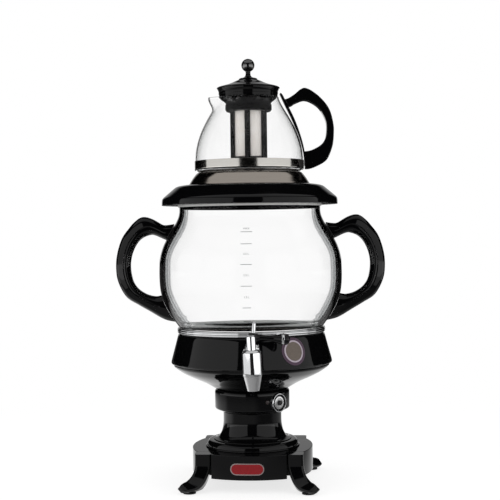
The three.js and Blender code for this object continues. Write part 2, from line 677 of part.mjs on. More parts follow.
function buildTap() {
  const valve = new THREE.Group();
  valve.position.z = tapZ;
  valve.rotation.y = radians(barrelTurn);
  samovar.add(valve);

  const facetInside = (panRadius - panSheet) * Math.cos(Math.PI / bodySides);
  const wallInside = Math.sqrt(facetInside ** 2 - tapWasherRadius ** 2) - gap;
  const washerBack = wallInside - tapWasherDepth;
  const nutBack = washerBack - gap - tapNutDepth;
  const bandFace = bandRadiusAt(bandHeight - tapDrop + tapFlangeRadius / 2) + gap;
  const bandFront = bandRadiusAt(bandHeight - tapDrop - tapFlangeRadius) + gap;
  const flangeBack = Math.max(bandFace, bandFront);
  const spigotEnd = spoutReach - spoutRadius - gap;
  const barrel = forward(turned([[0, nutBack], [shankRadius, nutBack], [shankRadius, flangeBack],
    [tapFlangeRadius, flangeBack], [tapFlangeRadius, flangeBack + tapFlangeDepth / 2],
    [shankRadius, flangeBack + tapFlangeDepth], [shankRadius, plugReach], [spigotRadius, plugReach],
    [spigotRadius, spigotEnd], [0, spigotEnd]]));
  const houseFloor = -plugHouseHeight / 2 - plugHouseFloor;
  const houseTop = plugHouseHeight / 2;
  const house = disc(plugHouseRadius, houseFloor, houseTop).translate(0, -plugReach, 0);
  const plugHole = disc(plugRadius + gap, -plugHouseHeight / 2, houseTop + overrun)
    .translate(0, -plugReach, 0);
  const water = forward(disc(waterBore, nutBack - overrun, spigotEnd + overrun));
  piece(valve, 'tap_barrel', cut(fused(barrel, house), plugHole, water), chrome);
  const washer = ring(shankRadius + gap, tapWasherRadius, washerBack, wallInside);
  piece(valve, 'tap_washer', forward(washer), silicone);
  const nut = cut(hexagon(tapNutRadius, nutBack, nutBack + tapNutDepth),
    disc(shankRadius + gap, nutBack - overrun, nutBack + tapNutDepth + overrun));
  piece(valve, 'tap_nut', forward(nut), brass);

  const lever = new THREE.Group();
  lever.position.y = -plugReach;
  valve.add(lever);
  const capZ = houseTop + gap;
  const plugFoot = gap - plugHouseHeight / 2;
  const stemTop = capZ + plugCapHeight + stemHeight;
  const plug = turned([[0, plugFoot], [plugRadius, plugFoot], [plugRadius, capZ], [plugCap, capZ],
    [plugCap, capZ + plugCapHeight], [stemRadius, capZ + plugCapHeight], [stemRadius, stemTop - stemRadius],
    [stemRadius / 2, stemTop], [0, stemTop]]);
  const port = forward(disc(waterBore, -plugRadius - overrun, plugRadius + overrun))
    .rotateZ(radians(plugOpenAngle));
  piece(lever, 'tap_plug', cut(plug, port), chrome);

  const axisZ = capZ + plugCapHeight + leverRise;
  const hub = disc(leverHub, -leverHubHeight / 2, leverHubHeight / 2);
  const shank = sideways(turned([[0, 0], [leverNeck, 0], [leverNeck, leverLength / 2],
    ...sized(leverShares, leverEnd, leverLength), [leverSpigot, leverLength],
    [leverSpigot, leverLength + gap + leverRingWidth], [0, leverLength + gap + leverRingWidth]]));
  const stemHole = disc(stemRadius + gap, -leverHubHeight, leverHubHeight);
  piece(lever, 'tap_lever', cut(fused(hub, shank), stemHole), blackPlastic, [0, 0, axisZ]);
  const ringStart = leverLength + gap;
  piece(lever, 'lever_ring', sideways(turned([[leverSpigot + gap, ringStart], [leverRing - gap, ringStart],
    [leverRing, ringStart + leverRingWidth / 2], [leverRing - gap, ringStart + leverRingWidth],
    [leverSpigot + gap, ringStart + leverRingWidth]])), chrome, [0, 0, axisZ]);
  const capStart = ringStart + leverRingWidth + gap;
  const cap = sized(leverCapShares, leverRing - gap, leverCapLength);
  piece(lever, 'lever_cap', sideways(turned([[0, 0], ...cap]).translate(0, 0, capStart)), blackPlastic,
    [0, 0, axisZ]);

  const spout = new THREE.Group();
  spout.position.set(0, -spoutReach, tapZ);
  spout.rotation.y = radians(spoutTurn);
  samovar.add(spout);
  const inlet = forward(disc(waterBore, -sleeveRadius, 0));
  const column = turned([[0, spoutTop], [spoutRadius / 2, spoutTop],
    [spoutRadius, spoutTop - spoutRadius / 2], [spoutRadius, -spoutFoot], [spoutBore, -spoutFoot],
    [spoutBore, spoutTop / 2], [0, spoutTop / 2]]);
  piece(spout, 'spout_column', cut(column, inlet), chrome);
  const sleeveBore = spoutRadius + gap;
  const sleeve = turned([[sleeveBore, -sleeveFoot], [sleeveRadius, -sleeveFoot],
    [sleeveRadius, sleeveTop - sleeveShoulder], [sleeveNeck, sleeveTop], [sleeveBore, sleeveTop]]);
  const spigotHole = forward(disc(spigotRadius + gap, -sleeveRadius - overrun, 0));
  piece(spout, 'spout_sleeve', cut(sleeve, spigotHole), chrome);
  const nozzleTop = -sleeveFoot - gap;
  const nozzleFoot = nozzleTop - nozzleHeight;
  const nozzleStep = -spoutFoot - gap;
  piece(spout, 'spout_nozzle', turned([[sleeveBore, nozzleTop], [nozzleRadius, nozzleTop],
    [nozzleEnd, nozzleFoot], [nozzleBore, nozzleFoot], [nozzleBore, nozzleStep],
    [sleeveBore, nozzleStep]]), chrome);
}

// Lid of the tank

function buildLid() {
  const skirtOuter = tankNeck - tankWall - 2 * gap;
  const seatWall = collarRadius + 2 * gap;
  const topZ = brimSeat + brimRim;
  const outline = sized(brimShares, brimRadius, brimSeat + brimRim);
  const seatUnder = brimSeat - bodyWall;
  const drip = tankNeck + 4 * gap;
  const brim = [[brimHole, seatUnder], [brimHole, brimSeat], [seatWall, brimSeat], [seatWall, topZ],
    ...outline, [drip + brimDripWall, -brimDripDepth], [drip, -brimDripDepth], [drip, 0],
    [skirtOuter, 0], [skirtOuter, -brimSkirtDepth],
    [skirtOuter - brimSkirtWall, -brimSkirtDepth], [skirtOuter - brimSkirtWall, seatUnder]];
  piece(samovar, 'lid_brim', turned(brim, bodySides), blackPlastic, [0, 0, brimZ]);
  piece(samovar, 'lid_seal', ring(tankNeck - tankWall, tankNeck, 0, lidSeal, bodySides), silicone,
    [0, 0, lidSealZ]);

  const collar = sized(collarShares, collarRadius, collarHeight);
  const inside = offset(collar, collarSheet).slice(0, -1).reverse();
  inside[inside.length - 1][1] = 0;
  const flat = collar[collar.length - 1][0];
  piece(samovar, 'lid_collar', turned([...collar, [collarHole, collarHeight],
    [collarHole, collarHeight - collarSheet], [flat - collarSheet, collarHeight - collarSheet], ...inside],
  bodySides), steel, [0, 0, collarZ]);
}

// Teapot

const potOutline = [...sized(teapotShares, teapotRadius, teapotHeight), [teapotRim, teapotHeight]];

function radiusAt(outline, height) {
  const above = Math.max(outline.findIndex(([, h]) => h >= height), 1);
  const [[r0, h0], [r1, h1]] = [outline[above - 1], outline[above]];
  return r0 + (r1 - r0) * (height - h0) / (h1 - h0);
}

// Pulls the rim of the glass outwards at -X into a pouring lip
function pullLip(geometry) {
  const place = geometry.attributes.position;
  const start = lipStartShare * teapotHeight;
  for (let vertex = 0; vertex < place.count; vertex += 1) {
    const [x, y, z] = [place.getX(vertex), place.getY(vertex), place.getZ(vertex)];
    const turn = Math.abs(Math.atan2(y, -x)) / radians(lipSpread);
    if (z > start && turn < 1) {
      const rise = (z - start) / (teapotHeight - start);
      const pull = lipReach * rise * rise * (1 + Math.cos(Math.PI * turn)) / 2;
      const radius = Math.hypot(x, y);
      place.setXY(vertex, x * (1 + pull / radius), y * (1 + pull / radius));
    }
  }
  return geometry;
}

function buildTeapot() {
  const foot = potOutline[0][0];
  const inside = offset(potOutline, teapotWall).reverse();
  inside[0][1] = teapotHeight;
  inside[inside.length - 1][1] = teapotPunt + teapotWall;
  const punt = foot * teapotPuntShare;
  const glassSkin = turned([[0, teapotPunt], [punt - teapotPunt, teapotPunt], [punt, 0], ...potOutline,
    ...inside, [0, teapotPunt + teapotWall]], teapotSides);
  piece(samovar, 'teapot_glass', pullLip(glassSkin), glass, [0, 0, teapotZ]);

  const bandLow = bandSeatShare * teapotHeight;
  const bandHigh = bandLow + teapotBandHeight;
  const bandInner = radiusAt(potOutline, bandHigh) + gap;
  const bandOuter = bandInner + teapotBandSheet;
  piece(samovar, 'teapot_band', ring(bandInner, bandOuter, bandLow, bandHigh, teapotSides), steel,
    [0, 0, teapotZ]);

  const places = potHandleShares.map(([out, up, thickness]) =>
    [teapotRadius + out * potHandleStandoff, up * teapotHeight, thickness * potHandleGrip]);
  const grip = bar(places, potHandleWidth, potHandleSteps, handleSectionShares);
  const skinOut = potOutline.map(([r, h]) => [r + gap * Math.SQRT2, h]);
  const upper = skinOut.filter(([, h]) => h > bandHigh);
  const rimRise = [skinOut[skinOut.length - 1][0], teapotHeight + strapThickness * 2];
  const strapLine = [...upper, rimRise];
  const strapBack = strapLine.map(([r, h]) => [r + strapThickness, h]).reverse();
  const strapShape = new THREE.Shape([...strapLine, ...strapBack].map(([r, h]) => new THREE.Vector2(r, h)));
  const strap = plate(strapShape, strapWidth).translate(0, 0, -strapWidth / 2).rotateX(Math.PI / 2);
  const pot = turned([[0, 0], ...skinOut, [0, teapotHeight]], teapotSides);
  const bandTool = disc(bandOuter + gap, bandLow - gap, bandHigh + gap, teapotSides);
  const mouth = disc(infuserCollarRadius + gap, teapotHeight - gap, teapotHeight + overrun * 4, teapotSides);
  const screwZ = (bandLow + bandHigh) / 2;
  const screwEnd = teapotRadius + potHandleStandoff / 3;
  const screwHole = sideways(disc(bandScrewRadius + gap, bandOuter, screwEnd + overrun))
    .translate(0, 0, screwZ);
  piece(samovar, 'teapot_handle', cut(fused(grip, strap), pot, bandTool, mouth, screwHole), blackPlastic,
    [0, 0, teapotZ]);
  piece(samovar, 'band_screw', sideways(disc(bandScrewRadius, bandOuter + gap, screwEnd)), zinc,
    [0, 0, teapotZ + screwZ]);
}

const infuserSeat = teapotRim - teapotWall - 2 * gap;  // the collar fits inside the rim of the glass

function buildInfuser() {
  const wall = infuserCollarWall;
  const low = -infuserCollarDepth;
  const waist = low / 2;
  const rise = infuserCollarRise;
  const mouth = infuserRadius - infuserRingWall;
  const collar = [[infuserNeck, low], [infuserNeck, waist], [infuserSeat, waist / 2], [infuserSeat, gap],
    [teapotRim - gap, gap], [infuserCollarRadius, rise / 2], [infuserCollarRadius, rise],
    [infuserCollarRadius - 2 * wall, rise], [infuserSeat - wall, gap], [infuserNeck - wall, waist],
    [infuserNeck - wall, low + wall], [mouth, low + wall], [mouth, low]];
  piece(samovar, 'infuser_collar', turned(collar, teapotSides), blackPlastic, [0, 0, teapotTop]);

  const frameTop = -infuserCollarDepth - gap;
  const frameFoot = teapotPunt + teapotWall + infuserFloor - teapotHeight;
  const cup = turned([[0, frameFoot], [infuserRadius, frameFoot], [infuserRadius, frameTop],
    [infuserRadius - infuserRingWall, frameTop], [infuserRadius - infuserRingWall, frameFoot + infuserEnd],
    [0, frameFoot + infuserEnd]], teapotSides);
  const windowLow = frameFoot + infuserEnd + infuserHoop;
  const windowHeight = frameTop - infuserHoop - windowLow;
  const ribHalf = Math.asin(infuserRibWidth / 2 / infuserRadius);
  const windowWidth = 2 * infuserRadius * Math.sin(Math.PI / 6 - ribHalf);
  const across = 2 * (infuserRadius + overrun);
  const block = new THREE.BoxGeometry(across, windowWidth, windowHeight)
    .translate(0, 0, windowLow + windowHeight / 2);
  const windows = [0, 1, 2].map((third) =>
    closed(block.clone()).rotateZ(radians(infuserRibTurn) + third * Math.PI / 3));
  piece(samovar, 'infuser_frame', cut(cup, ...windows), blackPlastic, [0, 0, teapotTop]);

  const meshOuter = infuserRadius - infuserRingWall - gap;
  const meshFoot = frameFoot + infuserEnd + gap;
  piece(samovar, 'infuser_mesh', turned([[0, meshFoot], [meshOuter, meshFoot], [meshOuter, frameTop],
    [meshOuter - meshSheet, frameTop], [meshOuter - meshSheet, meshFoot + meshSheet],
    [0, meshFoot + meshSheet]], neckSides), steel, [0, 0, teapotTop]);
}

function buildTeapotLid() {
  const lidZ = teapotTop + infuserCollarRise + gap;
  const dome = sized(potLidShares, potLidRadius, potLidHeight);
  const skirt = infuserCollarRadius - 2 * infuserCollarWall - 2 * gap;
  const skirtFoot = infuserSeat - infuserCollarWall - gap;
  const lid = [[0, potLidHeight - 2 * potLidWall], [skirt - potLidWall, 0],
    [skirtFoot - potLidWall, -potLidSkirt], [skirtFoot, -potLidSkirt], [skirt, 0], ...dome,
    [potLidFlange, potLidHeight], [0, potLidHeight]];
  piece(samovar, 'teapot_lid', turned(lid, teapotSides), blackPlastic, [0, 0, lidZ]);
  const ball = knobNeckHeight + knobRadius;
  const knob = [[0, 0], [knobNeck * 2, 0], [knobNeck, knobNeckHeight / 4]];
  const foot = -Math.acos(knobNeck / knobRadius);
  for (let step = 0; step < knobSteps; step += 1) {
    const angle = foot + (Math.PI / 2 - foot) * step / knobSteps;
    knob.push([knobRadius * Math.cos(angle), ball + knobRadius * Math.sin(angle)]);
  }
  knob.push([0, ball + knobRadius]);
  piece(samovar, 'lid_knob', turned(knob), blackPlastic, [0, 0, lidZ + potLidHeight + gap]);
}

buildBase();
buildNeck();
buildControls();
buildBody();
buildTank();
buildTap();
buildLid();
buildTeapot();
buildInfuser();
buildTeapotLid();

export default object;
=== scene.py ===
"""Electric glass samovar with a glass teapot on its lid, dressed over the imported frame.

Outlines are in millimetres: radius from the axis of the piece, and height above the floor.
"""

import math

import bpy
from mathutils import Matrix, Vector


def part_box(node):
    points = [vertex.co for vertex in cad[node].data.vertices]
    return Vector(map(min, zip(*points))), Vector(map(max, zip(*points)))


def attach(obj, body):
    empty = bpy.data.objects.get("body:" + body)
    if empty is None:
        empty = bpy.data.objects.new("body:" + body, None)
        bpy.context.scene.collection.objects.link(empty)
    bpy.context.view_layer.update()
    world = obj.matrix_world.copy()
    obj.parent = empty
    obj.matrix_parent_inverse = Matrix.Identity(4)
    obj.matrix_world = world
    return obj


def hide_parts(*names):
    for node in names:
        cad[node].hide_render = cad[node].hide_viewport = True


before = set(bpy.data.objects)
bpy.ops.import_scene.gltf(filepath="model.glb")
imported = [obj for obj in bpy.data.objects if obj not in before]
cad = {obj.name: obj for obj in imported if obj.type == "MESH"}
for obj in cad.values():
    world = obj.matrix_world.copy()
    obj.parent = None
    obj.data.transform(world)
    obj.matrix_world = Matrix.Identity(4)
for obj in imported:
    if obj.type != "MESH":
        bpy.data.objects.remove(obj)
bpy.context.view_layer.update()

MM = 0.001
TOUCHING = 1e-6  # metres within which vertices are merged
PLINTH_TOP = 46.0  # height at which the outlines below have the top of the plinth
PLINTH_SKIRT = 16.2  # the plinth's lower edge, a little below the bottom cover
PLATE_MIDDLE = (-1.4, 29.8)  # of the red plate, across and up
PLATE_HALF = 13.4  # from its middle to the centres of its round ends
PLATE_HIGH = 7.2  # radius of those ends
PLATE_RIM = 1.3
SOLE = 2.3  # flat underside of the legs, just above the foot pads
SCREEN_RADIUS = 20.8  # of the infuser's woven screen
WIRE_SPACING = 0.9  # of that screen's wires
TAP_HEIGHT = 172.0
PLUG_OUT = 110.0  # axis of the samovar to that of the tap's plug
SPOUT_OUT = 132.0  # to that of the spout
LEVER_HEIGHT = 21.2  # above the middle of the valve
BADGE_HEIGHT = 172.6
BADGE_TURN = 31.5  # degrees from the front to the right
HANDLE_GAP = 0.4  # between the tank's glass and its handles
POT_HANDLE_GAP = 0.35  # between the teapot's glass and its handle

# Places

tank_low, tank_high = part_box("tank_glass")
plinth_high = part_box("base_plinth")[1]
datum = Vector((
    (tank_low.x + tank_high.x) / 2,
    (tank_low.y + tank_high.y) / 2,
    plinth_high.z - PLINTH_TOP * MM,
))
ON_AXIS = Matrix.Translation(datum)
FACING_FRONT = Matrix.Rotation(math.radians(90), 4, "X")  # turns a piece's +Z to the front
FACING_RIGHT = Matrix.Rotation(math.radians(90), 4, "Y")


def at(x, y, z, *turns):
    """Place on the samovar's axis, moved by millimetres and then turned."""
    made = ON_AXIS @ Matrix.Translation(Vector((x, y, z)) * MM)
    for turn in turns:
        made = made @ turn
    return made


def turned_by(degrees, axis):
    return Matrix.Rotation(math.radians(degrees), 4, axis)


# Materials


def linear(hex_colour):
    """sRGB hex colour as the linear RGBA that shaders take."""
    made = []
    for start in (1, 3, 5):
        value = int(hex_colour[start:start + 2], 16) / 255
        made.append(value / 12.92 if value <= 0.04045 else ((value + 0.055) / 1.055) ** 2.4)
    return (*made, 1.0)


def add(tree, kind, inputs=None, **settings):
    """Adds a node with its settings, and gives its sockets values or links."""
    made = tree.nodes.new(kind)
    for name, value in settings.items():
        setattr(made, name, value)
    for socket, value in (inputs or {}).items():
        if isinstance(value, bpy.types.NodeSocket):
            tree.links.new(value, made.inputs[socket])
        else:
            made.inputs[socket].default_value = value
    return made


def start_material(name):
    made = bpy.data.materials.new(name)
    made.use_nodes = True
    made.node_tree.nodes.clear()
    return made, made.node_tree


def place_in_mm(tree, scale=(1, 1, 1), centre=(0, 0, 0)):
    """Object coordinates in millimetres, centred on a place and stretched."""
    spot = add(tree, "ShaderNodeTexCoord")
    return add(tree, "ShaderNodeMapping", {
        "Vector": spot.outputs["Object"],
        "Location": tuple(-c / MM * s for c, s in zip(centre, scale)),
        "Scale": tuple(s / MM for s in scale),
    }).outputs["Vector"]


def fill_ramp(node, stops):
    """Gives a colour ramp its (place, hex colour) stops."""
    colours = node.color_ramp.elements
    colours[0].position, colours[0].color = stops[0][0], linear(stops[0][1])
    colours[1].position, colours[1].color = stops[-1][0], linear(stops[-1][1])
    for place, colour in stops[1:-1]:
        colours.new(place).color = linear(colour)


def finish_material(made, tree, sockets, see_through=False):
    shader = add(tree, "ShaderNodeBsdfPrincipled", sockets)
    surface = shader.outputs["BSDF"]
    if see_through:  # lamps shine through, so that what stands behind the glass is lit
        path = add(tree, "ShaderNodeLightPath")
        clear = add(tree, "ShaderNodeBsdfTransparent", {"Color": linear("#f4f6f6")})
        mixed = add(tree, "ShaderNodeMixShader", {0: path.outputs["Is Shadow Ray"]})
        tree.links.new(surface, mixed.inputs[1])
        tree.links.new(clear.outputs[0], mixed.inputs[2])
        surface = mixed.outputs[0]
    add(tree, "ShaderNodeOutputMaterial", {"Surface": surface})
    return made


def grained(name, colours, rough, grain, relief=None, stretch=(1, 1, 1), ragged=0.5, **sockets):
    """A finish whose colour, roughness and relief all follow one noise.

    Colours and roughness are those at the low and the high end of the noise. Its grain is the number
    of grains in a millimetre and their detail, and its relief is the strength of the bumps and their
    depth in millimetres.
    """
    made, tree = start_material(name)
    per_mm, detail = grain
    noise = add(tree, "ShaderNodeTexNoise", {
        "Vector": place_in_mm(tree, stretch), "Scale": per_mm, "Detail": detail, "Roughness": ragged,
    }).outputs["Fac"]
    colour = add(tree, "ShaderNodeMix", {0: noise, 6: linear(colours[0]), 7: linear(colours[1])},
                 data_type="RGBA")
    haze = add(tree, "ShaderNodeMapRange", {"Value": noise, "To Min": rough[0], "To Max": rough[1]})
    sockets["Base Color"] = colour.outputs[2]
    sockets["Roughness"] = haze.outputs["Result"]
    if relief:
        strength, depth = relief
        bump = add(tree, "ShaderNodeBump", {"Height": noise, "Strength": strength, "Distance": depth * MM})
        sockets["Normal"] = bump.outputs["Normal"]
        if "Coat Weight" in sockets:
            sockets["Coat Normal"] = bump.outputs["Normal"]
    return finish_material(made, tree, sockets)


def gloss_abs():
    """Injection-moulded ABS from a polished mould: deep black, sharp reflections that waver a little."""
    made, tree = start_material("gloss_abs")
    spot = place_in_mm(tree)
    sink = add(tree, "ShaderNodeTexNoise", {"Vector": spot, "Scale": 0.06, "Detail": 1.0})
    haze = add(tree, "ShaderNodeTexNoise", {"Vector": spot, "Scale": 0.35, "Detail": 4.0})
    bump = add(tree, "ShaderNodeBump", {"Height": sink.outputs["Fac"], "Strength": 0.05,
                                        "Distance": 0.4 * MM})
    colour = add(tree, "ShaderNodeMix", {
        0: haze.outputs["Fac"], 6: linear("#050506"), 7: linear("#09090a")}, data_type="RGBA")
    rough = add(tree, "ShaderNodeMapRange", {
        "Value": haze.outputs["Fac"], "To Min": 0.03, "To Max": 0.09})
    return finish_material(made, tree, {
        "Base Color": colour.outputs[2],
        "Roughness": rough.outputs["Result"],
        "Normal": bump.outputs["Normal"],
        "IOR": 1.5,
        "Specular IOR Level": 0.3,
    })


def borosilicate(name, bend, painted_edge_shade, wave_scale):
    """Blown borosilicate glass: clear, with painted shade and painted reflections in its colour, which
    darkens in steps where one looks along the glass.

    Its index is matched to the faint reflections in the photograph, below the real 1.47.
    """
    made, tree = start_material(name)
    spot = place_in_mm(tree, (1, 1, 0.4))
    wave = add(tree, "ShaderNodeTexNoise", {"Vector": spot, "Scale": wave_scale, "Detail": 1.0})
    bump = add(tree, "ShaderNodeBump", {"Height": wave.outputs["Fac"], "Strength": 0.03,
                                        "Distance": 0.4 * MM})
    # Painted shade and painted reflection: the colour steps to grey bands and then near black as one looks
    # along the glass
    facing = add(tree, "ShaderNodeLayerWeight", {"Blend": 0.5})
    edge = add(tree, "ShaderNodeValToRGB", {"Fac": facing.outputs["Facing"]})
    fill_ramp(edge, painted_edge_shade)
    return finish_material(made, tree, {
        "Base Color": edge.outputs["Color"],
        "Roughness": 0.0,
        "Normal": bump.outputs["Normal"],
        "IOR": bend,
        "Transmission Weight": 1.0,
    }, see_through=True)


def drawn_pan():
    """Deep-drawn stainless pan: dull floor, and a wall with two bright bands and dark ones between them,
    painted on as reflections.
    """
    made, tree = start_material("drawn_stainless_pan")
    parts = add(tree, "ShaderNodeSeparateXYZ", {"Vector": place_in_mm(tree)})
    up = add(tree, "ShaderNodeMapRange", {
        "Value": parts.outputs["Z"], "From Min": 170.0, "From Max": 192.0})
    # Painted reflections: dark and bright bands up the pan's wall, by height
    painted_reflection_bands = add(tree, "ShaderNodeValToRGB", {"Fac": up.outputs["Result"]})
    fill_ramp(painted_reflection_bands, [(0.0, "#a8a6a2"), (0.45, "#a09e9a"), (0.5, "#454341"), (0.64, "#3d3b39"),
                      (0.68, "#cfcdc9"), (0.76, "#d6d4d0"), (0.8, "#454341"), (0.95, "#33312f"),
                      (0.98, "#d2d0cc")])
    fine = place_in_mm(tree, (0.02, 0.02, 1))
    lines = add(tree, "ShaderNodeTexNoise", {"Vector": fine, "Scale": 2.0, "Detail": 4.0})
    bump = add(tree, "ShaderNodeBump", {"Height": lines.outputs["Fac"], "Strength": 0.1,
                                        "Distance": 0.1 * MM})
    rough = add(tree, "ShaderNodeMapRange", {
        "Value": parts.outputs["Z"], "From Min": 166.0, "From Max": 171.0, "To Min": 0.5, "To Max": 0.2})
    return finish_material(made, tree, {
        "Base Color": painted_reflection_bands.outputs["Color"],
        "Metallic": 1.0,
        "Roughness": rough.outputs["Result"],
        "Normal": bump.outputs["Normal"],
    })


def woven_steel(centre):
    """Fine woven stainless screen, its wires drawn coarser than the real 0.3 mm so that they show."""
    made, tree = start_material("woven_stainless_screen")
    spot = place_in_mm(tree, centre=centre)
    parts = add(tree, "ShaderNodeSeparateXYZ", {"Vector": spot})
    angle = add(tree, "ShaderNodeMath", {0: parts.outputs["Y"], 1: parts.outputs["X"]},
                operation="ARCTAN2")
    wires = []
    for place, pitch in ((angle.outputs[0], SCREEN_RADIUS * math.tau / WIRE_SPACING),
                         (parts.outputs["Z"], math.tau / WIRE_SPACING)):
        phase = add(tree, "ShaderNodeMath", {0: place, 1: pitch}, operation="MULTIPLY")
        wires.append(add(tree, "ShaderNodeMath", {0: phase.outputs[0]}, operation="SINE").outputs[0])
    both = add(tree, "ShaderNodeMath", {0: wires[0], 1: wires[1]}, operation="MAXIMUM")
    height = add(tree, "ShaderNodeMapRange", {"Value": both.outputs[0], "From Min": -1.0})
    cloud = add(tree, "ShaderNodeTexNoise", {"Vector": spot, "Scale": 0.12, "Detail": 2.0})
    base = add(tree, "ShaderNodeMix", {
        0: cloud.outputs["Fac"], 6: linear("#efe6de"), 7: linear("#faf8f5")}, data_type="RGBA")
    # Painted shade: the low parts of the weave darker, down to three quarters of the colour
    painted_hollow_shade = add(tree, "ShaderNodeMapRange", {"Value": height.outputs["Result"], "To Min": 0.75})
    colour = add(tree, "ShaderNodeMix", {0: 1.0, 6: base.outputs[2], 7: painted_hollow_shade.outputs["Result"]},
                 data_type="RGBA", blend_type="MULTIPLY")
    bump = add(tree, "ShaderNodeBump", {"Height": height.outputs["Result"], "Strength": 0.35,
                                        "Distance": 0.1 * MM})
    return finish_material(made, tree, {
        "Base Color": colour.outputs[2],
        "Metallic": 0.1,
        "Roughness": 0.5,
        "Normal": bump.outputs["Normal"],
    })


def spun_aluminium(axis):
    """Spun aluminium cap: bright, with rings round its own axis."""
    made, tree = start_material("spun_aluminium")
    spot = add(tree, "ShaderNodeTexCoord")
    local = add(tree, "ShaderNodeMapping", {
        "Vector": spot.outputs["Object"],
        "Location": tuple(-c for c in axis.translation),
    })
    turned_back = add(tree, "ShaderNodeMapping", {
        "Vector": local.outputs["Vector"],
        "Rotation": tuple(axis.to_3x3().inverted().to_euler()),
        "Scale": (1 / MM, 1 / MM, 0.0),
    })
    length = add(tree, "ShaderNodeVectorMath", {0: turned_back.outputs["Vector"]},
                 operation="LENGTH")
    rings = add(tree, "ShaderNodeTexNoise", {"W": length.outputs["Value"], "Scale": 7.0,
                                             "Detail": 3.0}, noise_dimensions="1D")
    bump = add(tree, "ShaderNodeBump", {"Height": rings.outputs["Fac"], "Strength": 0.35,
                                        "Distance": 0.1 * MM})
    colour = add(tree, "ShaderNodeMix", {
        0: rings.outputs["Fac"], 6: linear("#c9cacb"), 7: linear("#e6e6e6")}, data_type="RGBA")
    return finish_material(made, tree, {
        "Base Color": colour.outputs[2],
        "Metallic": 1.0,
        "Roughness": 0.22,
        "Normal": bump.outputs["Normal"],
    })


def satin_abs():
    """ABS from a finely eroded mould: black with a soft grey sheen."""
    return grained("satin_abs", ("#0b0b0c", "#121213"), rough=(0.3, 0.42), grain=(2.2, 3.0),
                   relief=(0.12, 0.2), IOR=1.5)


def charcoal_polypropylene():
    """Moulded polypropylene of the infuser's ribs: charcoal with a dull sheen."""
    return grained("charcoal_polypropylene", ("#161617", "#232324"), rough=(0.22, 0.34),
                   grain=(0.5, 3.0), IOR=1.49)


def chrome_plate():
    """Bright chrome on polished brass: mirror-like, with hairline polishing marks."""
    return grained("chrome_plate", ("#dcdddf", "#e8e9ea"), rough=(0.03, 0.1), grain=(4.0, 5.0),
                   relief=(0.03, 0.1), stretch=(1, 1, 0.15), Metallic=1.0)


def satin_chrome():
    """Chrome over turned brass left unpolished: grey, with fine rings from the lathe."""
    return grained("satin_chrome", ("#d8d8d9", "#ececed"), rough=(0.28, 0.4), grain=(5.0, 3.0),
                   relief=(0.25, 0.1), stretch=(0.1, 0.1, 1), Metallic=1.0)


def zinc_plated_steel():
    """Steel zinc-plated in the barrel: grey and mottled."""
    return grained("zinc_plated_steel", ("#8d8f91", "#a9abad"), rough=(0.3, 0.45),
                   grain=(1 / 1.5, 4.0), relief=(0.2, 0.1), Metallic=1.0)


def machined_brass():
    """Brass as it comes from the lathe: yellow, with a fine grain."""
    return grained("machined_brass", ("#b8954c", "#cfae62"), rough=(0.2, 0.35),
                   grain=(1 / 0.6, 4.0), relief=(0.2, 0.1), Metallic=1.0)


def lacquered_resin():
    """Cast black resin with a thick lacquer: small bright windows of light on a deep black ball."""
    return grained("lacquered_resin", ("#040405", "#080809"), rough=(0.05, 0.1), grain=(0.4, 2.0),
                   relief=(0.03, 0.3), **{"Coat Weight": 1.0, "Coat Roughness": 0.03, "Coat IOR": 1.9})


def brushed_stainless(name, dark, light):
    """Brushed stainless sheet: soft reflections drawn out by fine lines that run round the piece."""
    return grained(name, (dark, light), rough=(0.04, 0.2), grain=(3.0, 6.0), relief=(0.18, 0.1),
                   stretch=(0.02, 0.02, 1), ragged=0.7, Metallic=1.0)


def soft_rubber(name, dark, light, rough, clearness=0.0):
    """Moulded rubber: dull, with a fine eroded grain."""
    return grained(name, (dark, light), rough=(rough - 0.08, rough + 0.08), grain=(1.6, 4.0),
                   relief=(0.3, 0.2), IOR=1.45, **{"Transmission Weight": clearness})


def printed(name, dark, light, rough, metallic=0.0):
    """Printed or stamped layer with a slightly uneven coat."""
    return grained(name, (dark, light), rough=(rough - 0.05, rough + 0.08), grain=(0.8, 5.0),
                   relief=(0.1, 0.1), Metallic=metallic)


abs_black = gloss_abs()
abs_satin = satin_abs()
ribs_charcoal = charcoal_polypropylene()
# Painted shade and painted reflection: grey bands and near black at the tank's grazing edges, and a fainter
# painted shade at the teapot's
tank_clear = borosilicate("borosilicate_tank", 1.2, [
    (0.0, "#fefefe"), (0.56, "#fdfdfd"), (0.585, "#868889"), (0.61, "#8e9091"), (0.63, "#c6c8c8"),
    (0.7, "#bcbebf"), (0.722, "#060606"), (1.0, "#030303")], 0.03)
pot_clear = borosilicate("borosilicate_teapot", 1.2, [
    (0.0, "#fefefe"), (0.5, "#fbfbfb"), (0.8, "#eeefef"), (1.0, "#e2e3e3")], 0.05)
chrome = chrome_plate()
chrome_satin = satin_chrome()
steel_pan = drawn_pan()
steel_collar = brushed_stainless("brushed_stainless_collar", "#a39b93", "#b9b1a8")
steel_band = brushed_stainless("polished_stainless_strip", "#cbc8c2", "#dbd9d4")
screen = woven_steel(datum)
nickel = zinc_plated_steel()
brass = machined_brass()
rubber = soft_rubber("nitrile_rubber", "#101010", "#1a1a1a", 0.7)
silicone = soft_rubber("silicone", "#cfd2d2", "#e2e4e4", 0.45, 0.35)
white_silicone = soft_rubber("white_silicone", "#eaeae8", "#f6f6f4", 0.45)
knob_resin = lacquered_resin()
ink = printed("fired_enamel_ink", "#4c5052", "#6c7072", 0.5)
red_enamel = printed("red_enamel", "#7c0d16", "#a3161f", 0.18)
rim_silver = printed("hot_stamped_silver", "#bfaaa8", "#d9c9c9", 0.25, 1.0)
badge_violet = printed("foil_print_violet", "#41303f", "#5c4658", 0.3, 0.4)
